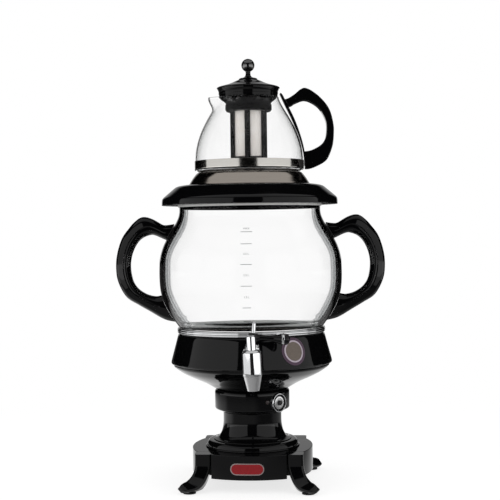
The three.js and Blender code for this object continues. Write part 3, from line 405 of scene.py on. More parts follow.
badge_silver = printed("foil_print_silver", "#a89ca6", "#c9bec8", 0.28, 0.9)
badge_taupe = printed("foil_print_taupe", "#5e564f", "#7b7068", 0.32, 0.6)
lamp_lens = printed("tinted_polycarbonate", "#241c1c", "#3a3232", 0.12)

# Making pieces


def curved(points, steps=8):
    """Smooth run through the points, with that many steps from each one to the next."""
    spots = [Vector(p) for p in points]
    spots = [2 * spots[0] - spots[1], *spots, 2 * spots[-1] - spots[-2]]
    made = []
    for before, start, end, after in zip(spots, spots[1:], spots[2:], spots[3:]):
        for step in range(steps):
            t = step / steps
            made.append(0.5 * (
                2 * start + (end - before) * t
                + (2 * before - 5 * start + 4 * end - after) * t ** 2
                + (3 * start - before - 3 * end + after) * t ** 3
            ))
    made.append(spots[-2])
    return [tuple(p) for p in made]


def radius_at(outline, height):
    """(radius, slope in radius per height) of an outline at a height, in millimetres."""
    for (r0, z0), (r1, z1) in zip(outline, outline[1:]):
        if min(z0, z1) <= height <= max(z0, z1) and z0 != z1:
            slope = (r1 - r0) / (z1 - z0)
            return r0 + slope * (height - z0), slope
    raise ValueError(height)


def start(name, x, y, z):
    """A new mesh in edit mode that is one selected vertex."""
    bpy.ops.object.select_all(action="DESELECT")
    bpy.ops.mesh.primitive_plane_add(size=MM, location=(0, 0, 0))
    made = bpy.context.object
    made.name = made.data.name = name
    bpy.ops.object.mode_set(mode="EDIT")
    bpy.ops.mesh.select_mode(type="VERT")
    bpy.ops.mesh.select_all(action="SELECT")
    bpy.ops.mesh.merge(type="CENTER")
    bpy.ops.transform.translate(value=(x * MM, y * MM, z * MM))
    return made


def pick(*pieces):
    """Selects these pieces alone and makes the first one active."""
    bpy.ops.object.select_all(action="DESELECT")
    for piece in pieces:
        piece.select_set(True)
    bpy.context.view_layer.objects.active = pieces[0]


def join(name, pieces):
    pick(*pieces)
    bpy.ops.object.join()
    made = bpy.context.object
    made.name = made.data.name = name
    return made


def extrude(x, y, z):
    bpy.ops.mesh.extrude_region_move(TRANSFORM_OT_translate={"value": (x * MM, y * MM, z * MM)})


def draw(points):
    """Extrudes the selected vertex from point to point."""
    for a, b in zip(points, points[1:]):
        extrude(*(q - p for p, q in zip(a, b)))


def close_skin():
    """Merges doubles and turns every face outwards, then leaves edit mode."""
    bpy.ops.mesh.select_all(action="SELECT")
    bpy.ops.mesh.remove_doubles(threshold=TOUCHING)
    bpy.ops.mesh.normals_make_consistent(inside=False)
    bpy.ops.object.mode_set(mode="OBJECT")


def modify(piece, kind, **settings):
    modifier = piece.modifiers.new(kind.lower(), kind)
    for name, value in settings.items():
        setattr(modifier, name, value)
    bpy.context.view_layer.objects.active = piece
    bpy.ops.object.modifier_apply(modifier=modifier.name)


def round_edges(piece, width, segments=3, angle=30):
    modify(piece, "BEVEL", width=width * MM, segments=segments, limit_method="ANGLE",
           angle_limit=math.radians(angle), use_clamp_overlap=True)


def set_down(piece, place, angle=35):
    """Moves the piece to its place, applies that, and shades it smooth up to an angle."""
    pick(piece)
    piece.matrix_world = place
    bpy.ops.object.transform_apply(location=True, rotation=True, scale=True)
    bpy.ops.object.shade_smooth_by_angle(angle=math.radians(angle))
    modify(piece, "WEIGHTED_NORMAL", keep_sharp=True)


def turned(name, outline, place=ON_AXIS, steps=96, edge=0.25, wall=0.0, segments=3):
    """Spins an outline of (radius, height) about Z. With a wall, the outline is the outer skin."""
    points = [(r, 0, z) for r, z in outline]
    on_axis = outline[0][0] == 0 and outline[-1][0] == 0
    if not wall and not on_axis:
        points.append(points[0])
    made = start(name, *points[0])
    draw(points)
    bpy.ops.mesh.select_all(action="SELECT")
    bpy.ops.mesh.spin(steps=steps, angle=math.tau, center=(0, 0, 0), axis=(0, 0, 1))
    close_skin()
    if wall:
        modify(made, "SOLIDIFY", thickness=wall * MM, offset=-1, use_even_offset=True)
    if edge:
        round_edges(made, edge, segments)
    set_down(made, place)
    return made


def two_runs(name, first, second, y):
    """Two open runs of (x, z) in one mesh, selected in edit mode and ready to be bridged."""
    runs = []
    for label, points in ((name, first), (name + "_side", second)):
        runs.append(start(label, points[0][0], y, points[0][1]))
        draw([(x, 0, z) for x, z in points])
        bpy.ops.object.mode_set(mode="OBJECT")
    made = join(name, runs)
    bpy.ops.object.mode_set(mode="EDIT")
    bpy.ops.mesh.select_all(action="SELECT")
    return made


def strip_between(name, first, second, depth, edge, segments):
    """A bar whose two silhouettes are the runs first and second of (x, z), depth thick along Y."""
    made = two_runs(name, first, second, -depth / 2)
    bpy.ops.mesh.bridge_edge_loops()
    bpy.ops.mesh.select_all(action="SELECT")
    extrude(0, depth, 0)
    close_skin()
    round_edges(made, edge, segments, angle=50)
    set_down(made, ON_AXIS)
    return made


def even(points, count):
    """The run through the points again, as that many evenly spaced ones."""
    spots = [Vector(p) for p in points]
    lengths = [0.0]
    for a, b in zip(spots, spots[1:]):
        lengths.append(lengths[-1] + (b - a).length)
    made = []
    place = 0
    for step in range(count):
        want = lengths[-1] * step / (count - 1)
        while place < len(spots) - 2 and lengths[place + 1] < want:
            place += 1
        share = (want - lengths[place]) / (lengths[place + 1] - lengths[place])
        made.append(tuple(spots[place].lerp(spots[place + 1], min(share, 1.0))))
    return made


def cut(piece, tool, operation="DIFFERENCE"):
    """Cuts a piece with a tool, or joins them, and removes the tool."""
    for part in (tool, piece):  # normals kept from before would spoil the shading of the new faces
        pick(part)
        bpy.ops.mesh.customdata_custom_splitnormals_clear()
    modify(piece, "BOOLEAN", operation=operation, object=tool, solver="EXACT")
    bpy.data.objects.remove(tool)


def copy_of(piece, name, place):
    """A copy with its own mesh, at its own place."""
    pick(piece)
    bpy.ops.object.duplicate(linked=False)
    made = bpy.context.object
    made.name = made.data.name = name
    set_down(made, place)
    return made


def ring_of(name, count, first, middle, size, edge):
    """Upright blocks round the axis, the first one at an angle. Their middle is (radius, height)."""
    radius, height = middle
    made = []
    for place in range(count):
        bpy.ops.object.select_all(action="DESELECT")
        bpy.ops.mesh.primitive_cube_add(size=1, location=(0, 0, 0))
        block = bpy.context.object
        block.name = name
        bpy.ops.object.mode_set(mode="EDIT")
        bpy.ops.transform.resize(value=tuple(side * MM for side in size))
        bpy.ops.mesh.bevel(offset=edge * MM, segments=2)
        bpy.ops.object.mode_set(mode="OBJECT")
        set_down(block, at(0, 0, height, turned_by(360 / count * place + first, "Z"),
                           Matrix.Translation((radius * MM, 0, 0))))
        made.append(block)
    return made


def dress(piece, finish, body, slot, *nodes):
    """Gives a piece its material and its body, and hides the nodes that it stands for. Its slot is not used.
    """
    piece.data.materials.clear()
    piece.data.materials.append(finish)
    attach(piece, body)
    if nodes:
        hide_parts(*nodes)


# Base

BASE = ON_AXIS @ turned_by(-4.5, "Z")


def plinth():
    """Hollow plinth with four bulging panels, and a notch for a leg at each corner."""
    half = 46.2  # half width of a panel
    out = 66.0  # from the axis to the ends of a panel
    bulge = 10.0  # how far its middle stands out beyond them
    wall = 2.9
    top = 3.0
    radius = (half ** 2 + bulge ** 2) / (2 * bulge)
    sweep = math.asin(half / radius)
    points = []
    for side in range(4):
        turn = Matrix.Rotation(side * math.pi / 2, 2)
        arc = []
        for step in range(25):
            angle = sweep * (step / 12 - 1)
            arc.append(Vector((radius * math.sin(angle),
                               radius - out - bulge - radius * math.cos(angle))))
        arc.append(Vector((half, -half)))
        points += [(*(turn @ p), PLINTH_SKIRT) for p in arc]
    made = start("plinth_shell", *points[0])
    draw(points + points[:1])
    bpy.ops.mesh.select_all(action="SELECT")
    bpy.ops.mesh.remove_doubles(threshold=TOUCHING)
    bpy.ops.mesh.edge_face_add()
    extrude(0, 0, PLINTH_TOP - PLINTH_SKIRT)
    bpy.ops.mesh.select_all(action="SELECT")
    bpy.ops.mesh.normals_make_consistent(inside=False)
    bpy.ops.mesh.select_all(action="DESELECT")
    select_faces(made, lambda f: f.normal.z < -0.9)
    bpy.ops.mesh.inset(thickness=wall * MM, depth=0)
    extrude(0, 0, PLINTH_TOP - PLINTH_SKIRT - top)
    close_skin()
    round_edges(made, 0.6, 3)
    set_down(made, BASE)
    dress(made, abs_black, "root", "black_plastic", "base_plinth")


def select_faces(piece, wanted):
    """In edit mode, selects the faces that answer a question."""
    bpy.ops.object.mode_set(mode="OBJECT")
    for face in piece.data.polygons:
        face.select = bool(wanted(face))
    bpy.ops.object.mode_set(mode="EDIT")
    bpy.ops.mesh.select_mode(type="FACE")


def select_vertices(piece, wanted):
    """In edit mode, selects the vertices that answer a question."""
    bpy.ops.object.mode_set(mode="EDIT")
    bpy.ops.mesh.select_mode(type="VERT")
    bpy.ops.mesh.select_all(action="DESELECT")
    bpy.ops.object.mode_set(mode="OBJECT")
    for vertex in piece.data.vertices:
        vertex.select = bool(wanted(vertex))
    bpy.ops.object.mode_set(mode="EDIT")


LEG_PATH = [  # out along the diagonal, height, half thickness, half width, lean of the section
    (79.8, 46.0, 14.0, 14.0, 0.0), (79.9, 38.0, 13.9, 14.0, 0.0), (80.4, 31.0, 13.8, 13.8, 0.0),
    (82.1, 24.2, 13.6, 13.5, 5.0), (85.0, 17.6, 14.0, 13.0, 14.5), (90.0, 11.4, 14.5, 12.6, 26.0),
    (97.0, 7.0, 13.6, 12.2, 39.0), (105.4, 5.6, 10.8, 11.4, 56.0), (112.2, 5.5, 7.6, 9.6, 70.0),
    (115.6, 6.2, 4.2, 6.4, 80.0), (116.8, 6.4, 1.6, 2.8, 84.0),
]


def leg():
    """Cabriole leg in the plane of its diagonal, from a square post to a round toe."""
    path = curved(LEG_PATH, 6)
    bpy.ops.object.select_all(action="DESELECT")
    x, z, thick, wide, _ = path[0]
    bpy.ops.mesh.primitive_plane_add(size=1, location=(0, 0, 0))
    made = bpy.context.object
    made.name = made.data.name = "leg_skin"
    bpy.ops.object.mode_set(mode="EDIT")
    bpy.ops.transform.rotate(value=math.radians(45), orient_axis="Z", center_override=(0, 0, 0))
    rounding = 0.18  # of the post's corners, as a share of its side
    bpy.ops.mesh.bevel(offset=rounding, affect="VERTICES", segments=8)
    size = 2 ** 0.5 * MM  # the diagonal of the square, which stands on its corner
    bpy.ops.transform.resize(value=(thick * size, wide * size, 1), center_override=(0, 0, 0))
    bpy.ops.transform.translate(value=(x * MM, 0, z * MM))
    for (x0, z0, t0, w0, lean), (x1, z1, t1, w1, heading) in zip(path, path[1:]):
        extrude(x1 - x0, 0, z1 - z0)
        centre = (x1 * MM, 0, z1 * MM)
        turn_selected(math.radians(lean), centre)
        bpy.ops.transform.resize(value=(t1 / t0, w1 / w0, 1), center_override=centre)
        turn_selected(-math.radians(heading), centre)
    close_skin()
    bpy.ops.object.mode_set(mode="EDIT")
    bpy.ops.mesh.select_all(action="SELECT")
    bpy.ops.mesh.bisect(plane_co=(0, 0, SOLE * MM), plane_no=(0, 0, -1), clear_outer=True,
                        use_fill=True)
    close_skin()
    return made


def turn_selected(angle, centre):
    """Turns the selection about Y through a centre, the way a positive Matrix.Rotation does."""
    if angle:
        bpy.ops.transform.rotate(value=-angle, orient_axis="Y", center_override=centre)


def legs():
    pattern = leg()
    corners = {"front_left": -135, "front_right": -45, "back_right": 45, "back_left": 135}
    for corner, angle in corners.items():
        spot = BASE @ turned_by(angle, "Z")
        made = copy_of(pattern, "cabriole_leg_" + corner, spot)
        dress(made, abs_black, "root", "black_plastic", "leg_" + corner)
    bpy.data.objects.remove(pattern)


def pill_plate():
    """Bare red plate with a silver rim on the front panel."""
    points = []
    for side in (1, -1):
        for step in range(17):
            angle = math.pi * (step / 16 - 0.5)
            points.append((side * (PLATE_HALF + PLATE_HIGH * math.cos(angle)), 0,
                           side * PLATE_HIGH * math.sin(angle)))
    made = start("pill_plate", *points[0])
    draw(points + points[:1])
    bpy.ops.mesh.select_all(action="SELECT")
    bpy.ops.mesh.remove_doubles(threshold=TOUCHING)
    bpy.ops.mesh.edge_face_add()
    bpy.ops.mesh.inset(thickness=PLATE_RIM * MM, depth=0)
    spacing = 2.1
    for step in range(-9, 10):  # lines across, along which the plate follows the panel
        bpy.ops.mesh.select_all(action="SELECT")
        bpy.ops.mesh.bisect(plane_co=(step * spacing * MM, 0, 0), plane_no=(1, 0, 0))
    close_skin()
    return made


plinth()
legs()

step_outline = [(45.2, 46.3), (59.5, 46.3), (59.5, 47.3), (59.1, 47.8), (57.9, 48.0)] + curved([
    (57.9, 48.0), (57.6, 49.8), (57.0, 51.6), (56.0, 53.2), (54.4, 54.4), (51.6, 54.9),
])[1:] + [(45.2, 54.9), (31.0, 54.9), (31.0, 46.3)]
step = turned("step_ring", step_outline, BASE, edge=0.25)
dress(step, abs_black, "root", "black_plastic", "step_moulding")

column_outline = [(34.5, 55.1), (49.4, 55.1), (49.0, 55.8)] + curved([
    (49.0, 55.8), (46.0, 56.6), (43.0, 58.2), (40.8, 61.0), (39.0, 65.0), (37.8, 69.6),
    (37.1, 74.2), (36.8, 79.0), (36.8, 89.4),
])[1:] + [(36.6, 89.7), (4.6, 89.7), (4.6, 86.7), (33.2, 86.7), (33.2, 74.0)]
column = turned("waist_column", column_outline, BASE, edge=0.25)
dress(column, abs_black, "root", "black_plastic", "neck_column")

# Control housing

housing_outline = [(34.3, 90.0), (36.8, 90.0)] + curved([
    (36.8, 90.0), (39.8, 90.9), (43.6, 92.5), (46.4, 94.0), (47.2, 95.6),
], 5)[1:] + [(47.2, 113.6)] + curved([(47.2, 113.6), (47.0, 115.6), (46.0, 117.4), (43.8, 118.6)], 5)[1:] + [
    (4.6, 118.7), (4.6, 116.2), (44.5, 116.2), (44.5, 95.5)]
housing = turned("housing_drum", housing_outline, edge=0.2)

DIAL = at(0, 0, 104.06, turned_by(43.5, "Z"), FACING_FRONT)
LAMP = at(0, 0, 105.8, turned_by(23, "Z"), FACING_FRONT)
for place, radius in ((DIAL, 12.2), (LAMP, 3.1)):
    tool = turned("hole", [(0, 20), (radius, 20), (radius, 60), (0, 60)], place, steps=64, edge=0)
    cut(housing, tool)
set_down(housing, Matrix.Identity(4))
dress(housing, abs_black, "root", "black_plastic", "control_housing")

bezel = turned("dial_bezel", [
    (2.5, 43.4), (12.0, 43.4), (12.0, 48.6), (11.6, 49.6), (10.9, 49.8), (10.2, 49.2),
    (10.2, 45.2), (2.5, 45.2)], DIAL, steps=72, edge=0.15)
dress(bezel, chrome, "root", "chrome", "thermostat_bezel")
dial = turned("dial_ring", [
    (2.5, 45.5), (9.9, 45.5), (9.9, 48.0), (9.6, 48.5), (9.0, 48.6), (8.5, 48.3), (8.4, 47.6),
    (2.5, 47.6)], DIAL, steps=72, edge=0.12)
dress(dial, abs_black, "thermostat_dial", "black_plastic", "thermostat_dial")
insert = turned("dial_cap", [
    (2.5, 47.9), (8.1, 47.9), (8.1, 48.4), (7.7, 48.8), (5.6, 49.0), (5.2, 48.6), (4.4, 48.6),
    (4.0, 49.0), (2.5, 49.0)], DIAL, steps=72, edge=0.1)
dress(insert, spun_aluminium(DIAL), "thermostat_dial", "stainless_steel", "dial_insert")
shaft = turned("dial_centre", [
    (0, 43.0), (2.2, 43.0), (2.2, 49.3), (3.2, 49.3), (3.2, 50.6), (2.7, 51.3), (0, 51.5)],
    DIAL, steps=40, edge=0.15)
dress(shaft, abs_satin, "thermostat_dial", "black_plastic", "dial_shaft")
lamp = turned("lamp_lens", [(0, 41.8), (2.6, 41.8), (2.6, 47.9)] + curved([
    (2.6, 47.9), (2.3, 48.4), (1.3, 48.7), (0, 48.75)], 5)[1:], LAMP, steps=40, edge=0)
dress(lamp, lamp_lens, "root", "red_plastic", "pilot_lamp")

# Body

TAP = at(0, 0, TAP_HEIGHT, turned_by(4.8, "Y"))

cone_outline = [(4.6, 119.0), (45.8, 119.0)] + curved([
    (45.8, 119.0), (49.2, 121.0), (53.4, 123.6), (59.7, 127.2), (66.0, 130.2), (72.3, 133.0),
    (78.6, 135.9), (83.7, 138.4), (88.7, 141.2), (93.7, 144.6), (97.4, 147.4), (98.6, 149.4),
])[1:] + [(98.7, 151.4), (96.2, 151.4), (95.6, 149.2), (91.0, 146.2), (86.0, 142.8),
          (80.0, 139.4), (70.0, 134.8), (58.0, 129.4), (50.0, 124.8), (46.0, 122.4), (4.6, 122.4)]
cone = turned("body_underside", cone_outline, edge=0.2)
dress(cone, abs_black, "root", "black_plastic", "body_cone")

band_outline = [(98.8, 151.7), (101.0, 151.7)] + curved([
    (101.0, 151.7), (101.7, 152.9), (101.1, 156.4), (99.7, 161.6), (97.7, 169.0), (95.0, 179.0),
    (93.3, 185.4), (92.0, 188.8), (90.8, 190.3),
])[1:] + [(84.0, 190.3), (84.0, 187.8), (89.4, 187.8), (92.0, 182.0), (96.0, 168.0), (98.6, 155.0)]
band = turned("body_belt", band_outline, edge=0.2)
tool = turned("hole", [(0, 70), (7.2, 70), (7.2, 110), (0, 110)],
              TAP @ FACING_FRONT, steps=48, edge=0)
cut(band, tool)
set_down(band, Matrix.Identity(4))
dress(band, abs_black, "root", "black_plastic", "body_band")

trim_outline = [(91.5, 190.6), (92.6, 190.6)] + curved([
    (92.6, 190.6), (93.3, 191.2), (93.4, 192.0), (93.0, 192.7)], 4)[1:] + curved([
    (93.0, 192.7), (93.35, 193.4), (93.4, 194.6), (93.0, 195.4)], 4)[1:] + curved([
    (93.0, 195.4), (93.2, 196.0), (92.9, 196.7), (92.3, 197.0)], 4)[1:] + [(91.5, 197.0)]
trim = turned("trim_hoop", trim_outline, edge=0.05)
dress(trim, chrome, "root", "chrome", "trim_ring")

# Tank

tank_outline = [(90.9, 193.5), (90.9, 197.3)] + curved([
    (90.9, 197.3), (92.4, 199.2), (95.0, 202.9), (99.0, 208.2), (105.4, 219.4), (110.4, 230.4),
    (113.8, 242.0), (115.2, 256.0), (115.2, 272.0), (114.2, 286.0), (110.8, 298.0),
    (105.4, 309.2), (99.8, 318.6), (94.4, 327.6), (90.8, 335.4), (89.3, 342.0),
], 6)[1:] + [(89.2, 350.4)]
tank = turned("tank_bowl", tank_outline, steps=128, edge=0, wall=3.0)
dress(tank, tank_clear, "root", "clear_glass", "tank_glass")

cuff = turned("seal_cuff", [(91.0, 190.8), (91.45, 190.8), (91.45, 196.9), (91.0, 196.9)], steps=128,
              edge=0)
dress(cuff, white_silicone, "root", "silicone")

HANDLE_HALF_DEPTH = 10.0
HANDLE_OUTER = [
    (96.0, 327.6), (102.0, 326.6), (109.5, 326.4), (116.0, 330.0), (124.0, 334.4), (132.5, 336.9),
    (139.5, 335.6), (147.0, 329.8), (153.0, 323.0), (162.0, 310.5), (168.0, 293.0),
    (170.2, 275.8), (168.0, 256.0), (157.5, 236.0), (142.0, 225.6), (128.0, 217.4),
    (113.5, 208.8), (104.0, 205.2), (94.0, 203.4)]
HANDLE_INNER = [
    (102.0, 306.0), (108.0, 308.0), (119.0, 313.0), (126.0, 314.0), (136.0, 310.3),
    (144.0, 302.0), (149.8, 289.0), (151.8, 274.0), (149.0, 257.4), (142.5, 246.6),
    (132.0, 239.4), (121.0, 236.4), (113.3, 237.4), (108.0, 239.0)]
HANDLE_POINTS = 90  # along each silhouette
# Half depth of a handle from its outer to its inner silhouette, as shares of the largest
GRIP_SHARES = [0.3, 0.56, 0.74, 0.84, 0.88, 0.92, 0.96, 1.0, 0.9, 0.92, 0.93, 0.88, 0.74, 0.56, 0.3]


def grip(name, outer, inner, half):
    """A bar between two silhouettes of (x, z), whose front has a long facet and a fine groove."""
    cuts = len(GRIP_SHARES) - 2
    made = two_runs(name, outer, inner, -half)
    bpy.ops.mesh.bridge_edge_loops(number_cuts=cuts, interpolation="LINEAR")
    bpy.ops.mesh.select_all(action="SELECT")
    extrude(0, 2 * half, 0)
    bpy.ops.object.mode_set(mode="OBJECT")
    ends = [(Vector(a) * MM, Vector(b) * MM) for a, b in zip(outer, inner)]
    rows = []
    for vertex in made.data.vertices:
        spot = Vector((vertex.co.x, vertex.co.z))
        best = (1.0, 0.0)
        for a, b in ends:
            along = b - a
            share = min(max((spot - a).dot(along) / along.length_squared, 0.0), 1.0)
            best = min(best, ((a + along * share - spot).length, share))
        rows.append(round(best[1] * (cuts + 1)))
    for row, share in enumerate(GRIP_SHARES):
        for side in (-1, 1):
            if share < 1.0:
                select_vertices(made, lambda v: rows[v.index] == row and v.co.y * side > 0)
                bpy.ops.transform.translate(value=(0, -side * half * (1 - share) * MM, 0))
                bpy.ops.object.mode_set(mode="OBJECT")
    bpy.ops.object.mode_set(mode="EDIT")
    close_skin()
    set_down(made, ON_AXIS, angle=32)
    return made


def handle(name, side):
    """Side handle of the tank, its ends cut to the belly of the glass."""
    outer = even(curved([(side * x, z) for x, z in HANDLE_OUTER], 6), HANDLE_POINTS)
    inner = even(curved([(side * x, z) for x, z in HANDLE_INNER], 6), HANDLE_POINTS)
    made = grip(name + "_grip", outer, inner, HANDLE_HALF_DEPTH)
    belly = [(r + HANDLE_GAP, z) for r, z in tank_outline]
    envelope = [(0, belly[0][1]), *belly, (0, belly[-1][1])]
    tool = turned("belly", envelope, steps=128, edge=0)
    cut(made, tool)
    set_down(made, Matrix.Identity(4), angle=40)
    dress(made, abs_black, "root", "black_plastic", name)


handle("handle_left", -1)
handle("handle_right", 1)


def level_marks():
    """Fired level marks and litre figures on the front of the glass."""
    turn = turned_by(-2.6, "Z")
    stroke = 0.6
    ink_thick = 0.04
    letter_size = 3.4
    pieces = []
    for height, half in ((316.8, 7.0), (302.7, 6.6), (278.6, 6.6), (253.2, 6.6), (227.4, 5.0),
                         (210.8, 4.0)):
        radius, slope = radius_at(tank_outline, height)
        arc = 2 * half / radius
        made = start("mark", radius + 0.05, 0, height - stroke / 2)
        extrude(stroke * slope, 0, stroke)
        bpy.ops.mesh.select_all(action="SELECT")
        bpy.ops.mesh.spin(steps=10, angle=arc, center=(0, 0, 0), axis=(0, 0, 1))
        close_skin()
        modify(made, "SOLIDIFY", thickness=ink_thick * MM, offset=0)
        centred = turned_by(-90 + math.degrees(arc / 2), "Z")
        set_down(made, ON_AXIS @ turn @ centred)
        pieces.append(made)
    for height, words in ((320.6, "MAX"), (291.0, "3.5 L"), (266.0, "2.5 L"), (240.0, "1.5 L")):
        radius, slope = radius_at(tank_outline, height)
        bpy.ops.object.select_all(action="DESELECT")
        bpy.ops.object.text_add(location=(0, 0, 0))
        made = bpy.context.object
        made.name = "figure"
        made.data.body = words
        made.data.align_x = "CENTER"
        made.data.align_y = "CENTER"
        made.data.size = letter_size * MM
        made.data.extrude = ink_thick / 2 * MM
        bpy.ops.object.convert(target="MESH")
        made = bpy.context.object
        lean = math.degrees(math.atan(slope))
        set_down(made, at(0, 0, height, turn, Matrix.Translation((0, -(radius + 0.12) * MM, 0)),
                          turned_by(90 + lean, "X")))
        pieces.append(made)
    dress(join("level_marks", pieces), ink, "root", "black_plastic")


level_marks()

# Tap

PLUG = TAP @ Matrix.Translation((0, -PLUG_OUT * MM, 0))
SPOUT = at(0, -SPOUT_OUT, TAP_HEIGHT, turned_by(-2.3, "Y"))
HUB = PLUG @ Matrix.Translation((0, 0, LEVER_HEIGHT * MM))

barrel = turned("valve_barrel", [
    (0, 42.5), (6.9, 42.5), (6.9, 98.7), (10.9, 98.7), (10.9, 99.6), (10.2, 100.4), (7.0, 100.6),
    (6.9, 110.0), (4.5, 110.0), (4.5, 126.2), (0, 126.2)], TAP @ FACING_FRONT, steps=48, edge=0.2)
housing_plug = turned("valve_house", [
    (0, -12.5), (6.5, -12.5), (8.3, -11.7), (9.0, -10.0), (9.0, 9.2), (8.4, 10.4), (6.4, 10.5),
    (6.4, -9.0), (0, -9.0)], PLUG, steps=56, edge=0.2)
cut(barrel, housing_plug, "UNION")
set_down(barrel, Matrix.Identity(4))
dress(barrel, chrome, "root", "chrome", "tap_barrel")

plug = turned("valve_plug", [
    (0, -8.6), (6.0, -8.6), (6.0, 10.8), (8.0, 10.8), (8.0, 12.0), (7.2, 12.9), (3.2, 13.4),
    (2.4, 14.6), (2.3, 36.6), (2.0, 38.4), (1.2, 39.4), (0, 39.6)], PLUG, steps=48, edge=0.15)
dress(plug, chrome, "tap_lever", "chrome", "tap_plug")

LEVER = HUB @ FACING_RIGHT
hub = turned("lever_arm", [(2.6, -5.0), (5.2, -5.0), (5.6, -4.4), (5.6, 4.4), (5.2, 5.0), (2.6, 5.0)],
             HUB, steps=48, edge=0.3)
arm = turned("arm", [(0, 3.2)] + curved([
    (4.2, 3.2), (3.4, 7.5), (3.0, 13.0), (3.1, 18.0), (3.9, 24.0), (5.2, 29.0), (6.2, 32.4), (6.4, 33.4),
], 6) + [(3.5, 33.6), (3.5, 36.8), (0, 36.8)], LEVER, steps=48, edge=0.15)
cut(hub, arm, "UNION")
tool = turned("hole", [(0, -9), (2.6, -9), (2.6, 9), (0, 9)], HUB, steps=48, edge=0)
cut(hub, tool)
set_down(hub, Matrix.Identity(4))
dress(hub, abs_black, "tap_lever", "black_plastic", "tap_lever")
ring = turned("lever_collar", [
    (3.8, 33.9), (6.6, 33.9), (7.0, 34.4), (7.0, 36.4), (6.6, 36.9), (3.8, 36.9)],
    LEVER, steps=56, edge=0.12)
dress(ring, chrome, "tap_lever", "chrome", "lever_ring")
cap = turned("lever_dome", [(0, 37.2)] + curved([
    (6.5, 37.2), (6.7, 38.4), (6.2, 40.4), (4.8, 42.2), (2.6, 43.3), (0, 43.6)], 5),
    LEVER, steps=56, edge=0)
dress(cap, abs_black, "tap_lever", "black_plastic", "lever_cap")

column_top = turned("spout_stem", [
    (3.2, -24.0), (5.4, -24.0), (5.4, 23.2), (4.6, 24.6), (3.2, 25.0), (0, 25.0), (0, 12.0), (3.2, 12.0)],
    SPOUT, steps=48, edge=0.2)
dress(column_top, chrome, "root", "chrome", "spout_column")
sleeve = turned("spout_barrel", [
    (5.7, -21.5), (10.9, -21.5), (11.2, -21.0), (11.3, -18.0), (11.3, 4.8), (11.0, 5.8),
    (10.2, 7.0), (9.2, 7.9), (8.4, 8.0), (7.8, 7.4), (7.6, 4.4), (5.7, 4.4)], SPOUT, steps=72, edge=0.15)
dress(sleeve, chrome, "root", "chrome", "spout_sleeve")
nozzle = turned("spout_tip", [
    (5.7, -21.8), (10.6, -21.8), (10.3, -23.0), (6.9, -38.6), (6.6, -39.1), (4.7, -39.1),
    (4.7, -24.3), (5.7, -24.3)], SPOUT, steps=72, edge=0.12)
dress(nozzle, chrome_satin, "root", "chrome", "spout_nozzle")

# Lid of the tank

brim_outline = [(66.0, 371.4), (66.0, 373.5), (77.7, 373.5), (77.7, 376.0), (79.0, 376.1)] + curved([
    (84.0, 375.6), (89.0, 374.8), (92.6, 373.7), (95.0, 372.2), (98.4, 369.4), (102.6, 365.9),
    (106.6, 362.5), (109.4, 360.0), (110.8, 358.0), (111.3, 355.6), (111.4, 353.0),
], 6) + [(111.4, 351.2), (110.8, 350.6), (90.2, 350.6), (89.9, 351.7), (88.6, 351.9),
         (85.0, 351.9), (85.0, 345.6), (83.4, 345.6), (83.4, 369.0), (80.0, 371.4)]
brim = turned("brim_shell", brim_outline, steps=128, edge=0.25)
dress(brim, abs_black, "samovar_lid", "black_plastic", "lid_brim")

lip_seal = turned("lid_lip_seal", [(89.8, 348.3), (90.6, 348.3), (90.6, 350.5), (89.8, 350.5)], steps=128,
                  edge=0)
dress(lip_seal, white_silicone, "samovar_lid", "silicone")

collar_outline = [(54.0, 390.5)] + [(63.6, 390.5)] + curved([
    (64.7, 390.2), (68.2, 386.6), (71.0, 382.8), (73.8, 378.6), (75.4, 375.8), (76.0, 374.8),
], 5) + [(76.2, 373.8), (77.0, 373.8), (77.0, 375.6), (76.6, 376.4)] + curved([
    (76.2, 376.9), (74.4, 379.9), (71.8, 384.0), (68.8, 388.0), (66.4, 390.6), (64.7, 391.3),
], 5) + [(54.0, 391.4)]
collar = turned("lid_ring", collar_outline, steps=128, edge=0.1)
dress(collar, steel_collar, "samovar_lid", "stainless_steel", "lid_collar")

# Teapot

pot_outline = [(0, 394.1)] + curved([
    (20.0, 393.9), (44.0, 393.0), (56.0, 391.9), (62.0, 391.8), (65.4, 393.4), (67.2, 397.4),
    (68.1, 404.0), (68.0, 411.0), (67.0, 420.0), (64.4, 431.0), (60.6, 442.0), (55.6, 452.6),
    (50.2, 462.4), (45.0, 471.0), (41.4, 477.6), (39.2, 482.4), (38.2, 485.8),
], 5)


def teapot():
    """Blown glass pot whose rim is drawn out to a lip on the left."""
    made = start("pot_bowl", *(pot_outline[0][0], 0, pot_outline[0][1]))
    draw([(r, 0, z) for r, z in pot_outline])
    bpy.ops.mesh.select_all(action="SELECT")
    bpy.ops.mesh.spin(steps=120, angle=math.tau, center=(0, 0, 0), axis=(0, 0, 1))
    close_skin()
    rim = pot_outline[-1][1] - 0.3
    lip_half = 7.0
    lip_out = 12.4
    lip_up = 0.3
    lip_reach = 20.0  # how far down and round the glass the drawing out is felt
    select_vertices(made, lambda v: v.co.x < 0 and v.co.z > rim * MM and abs(v.co.y) < lip_half * MM)
    bpy.ops.transform.translate(
        value=(-lip_out * MM, 0, lip_up * MM), use_proportional_edit=True,
        proportional_edit_falloff="SMOOTH", proportional_size=lip_reach * MM)
    bpy.ops.object.mode_set(mode="OBJECT")
    modify(made, "SOLIDIFY", thickness=1.6 * MM, offset=-1, use_even_offset=False)
    set_down(made, ON_AXIS)
    dress(made, pot_clear, "teapot", "clear_glass", "teapot_glass")


teapot()

strip = turned("pot_hoop", [(68.4, 396.2), (69.1, 396.0), (69.2, 396.6), (69.2, 405.4), (69.1, 406.0),
                            (68.4, 405.8)], steps=128, edge=0.08)
dress(strip, steel_band, "teapot", "stainless_steel", "teapot_band")


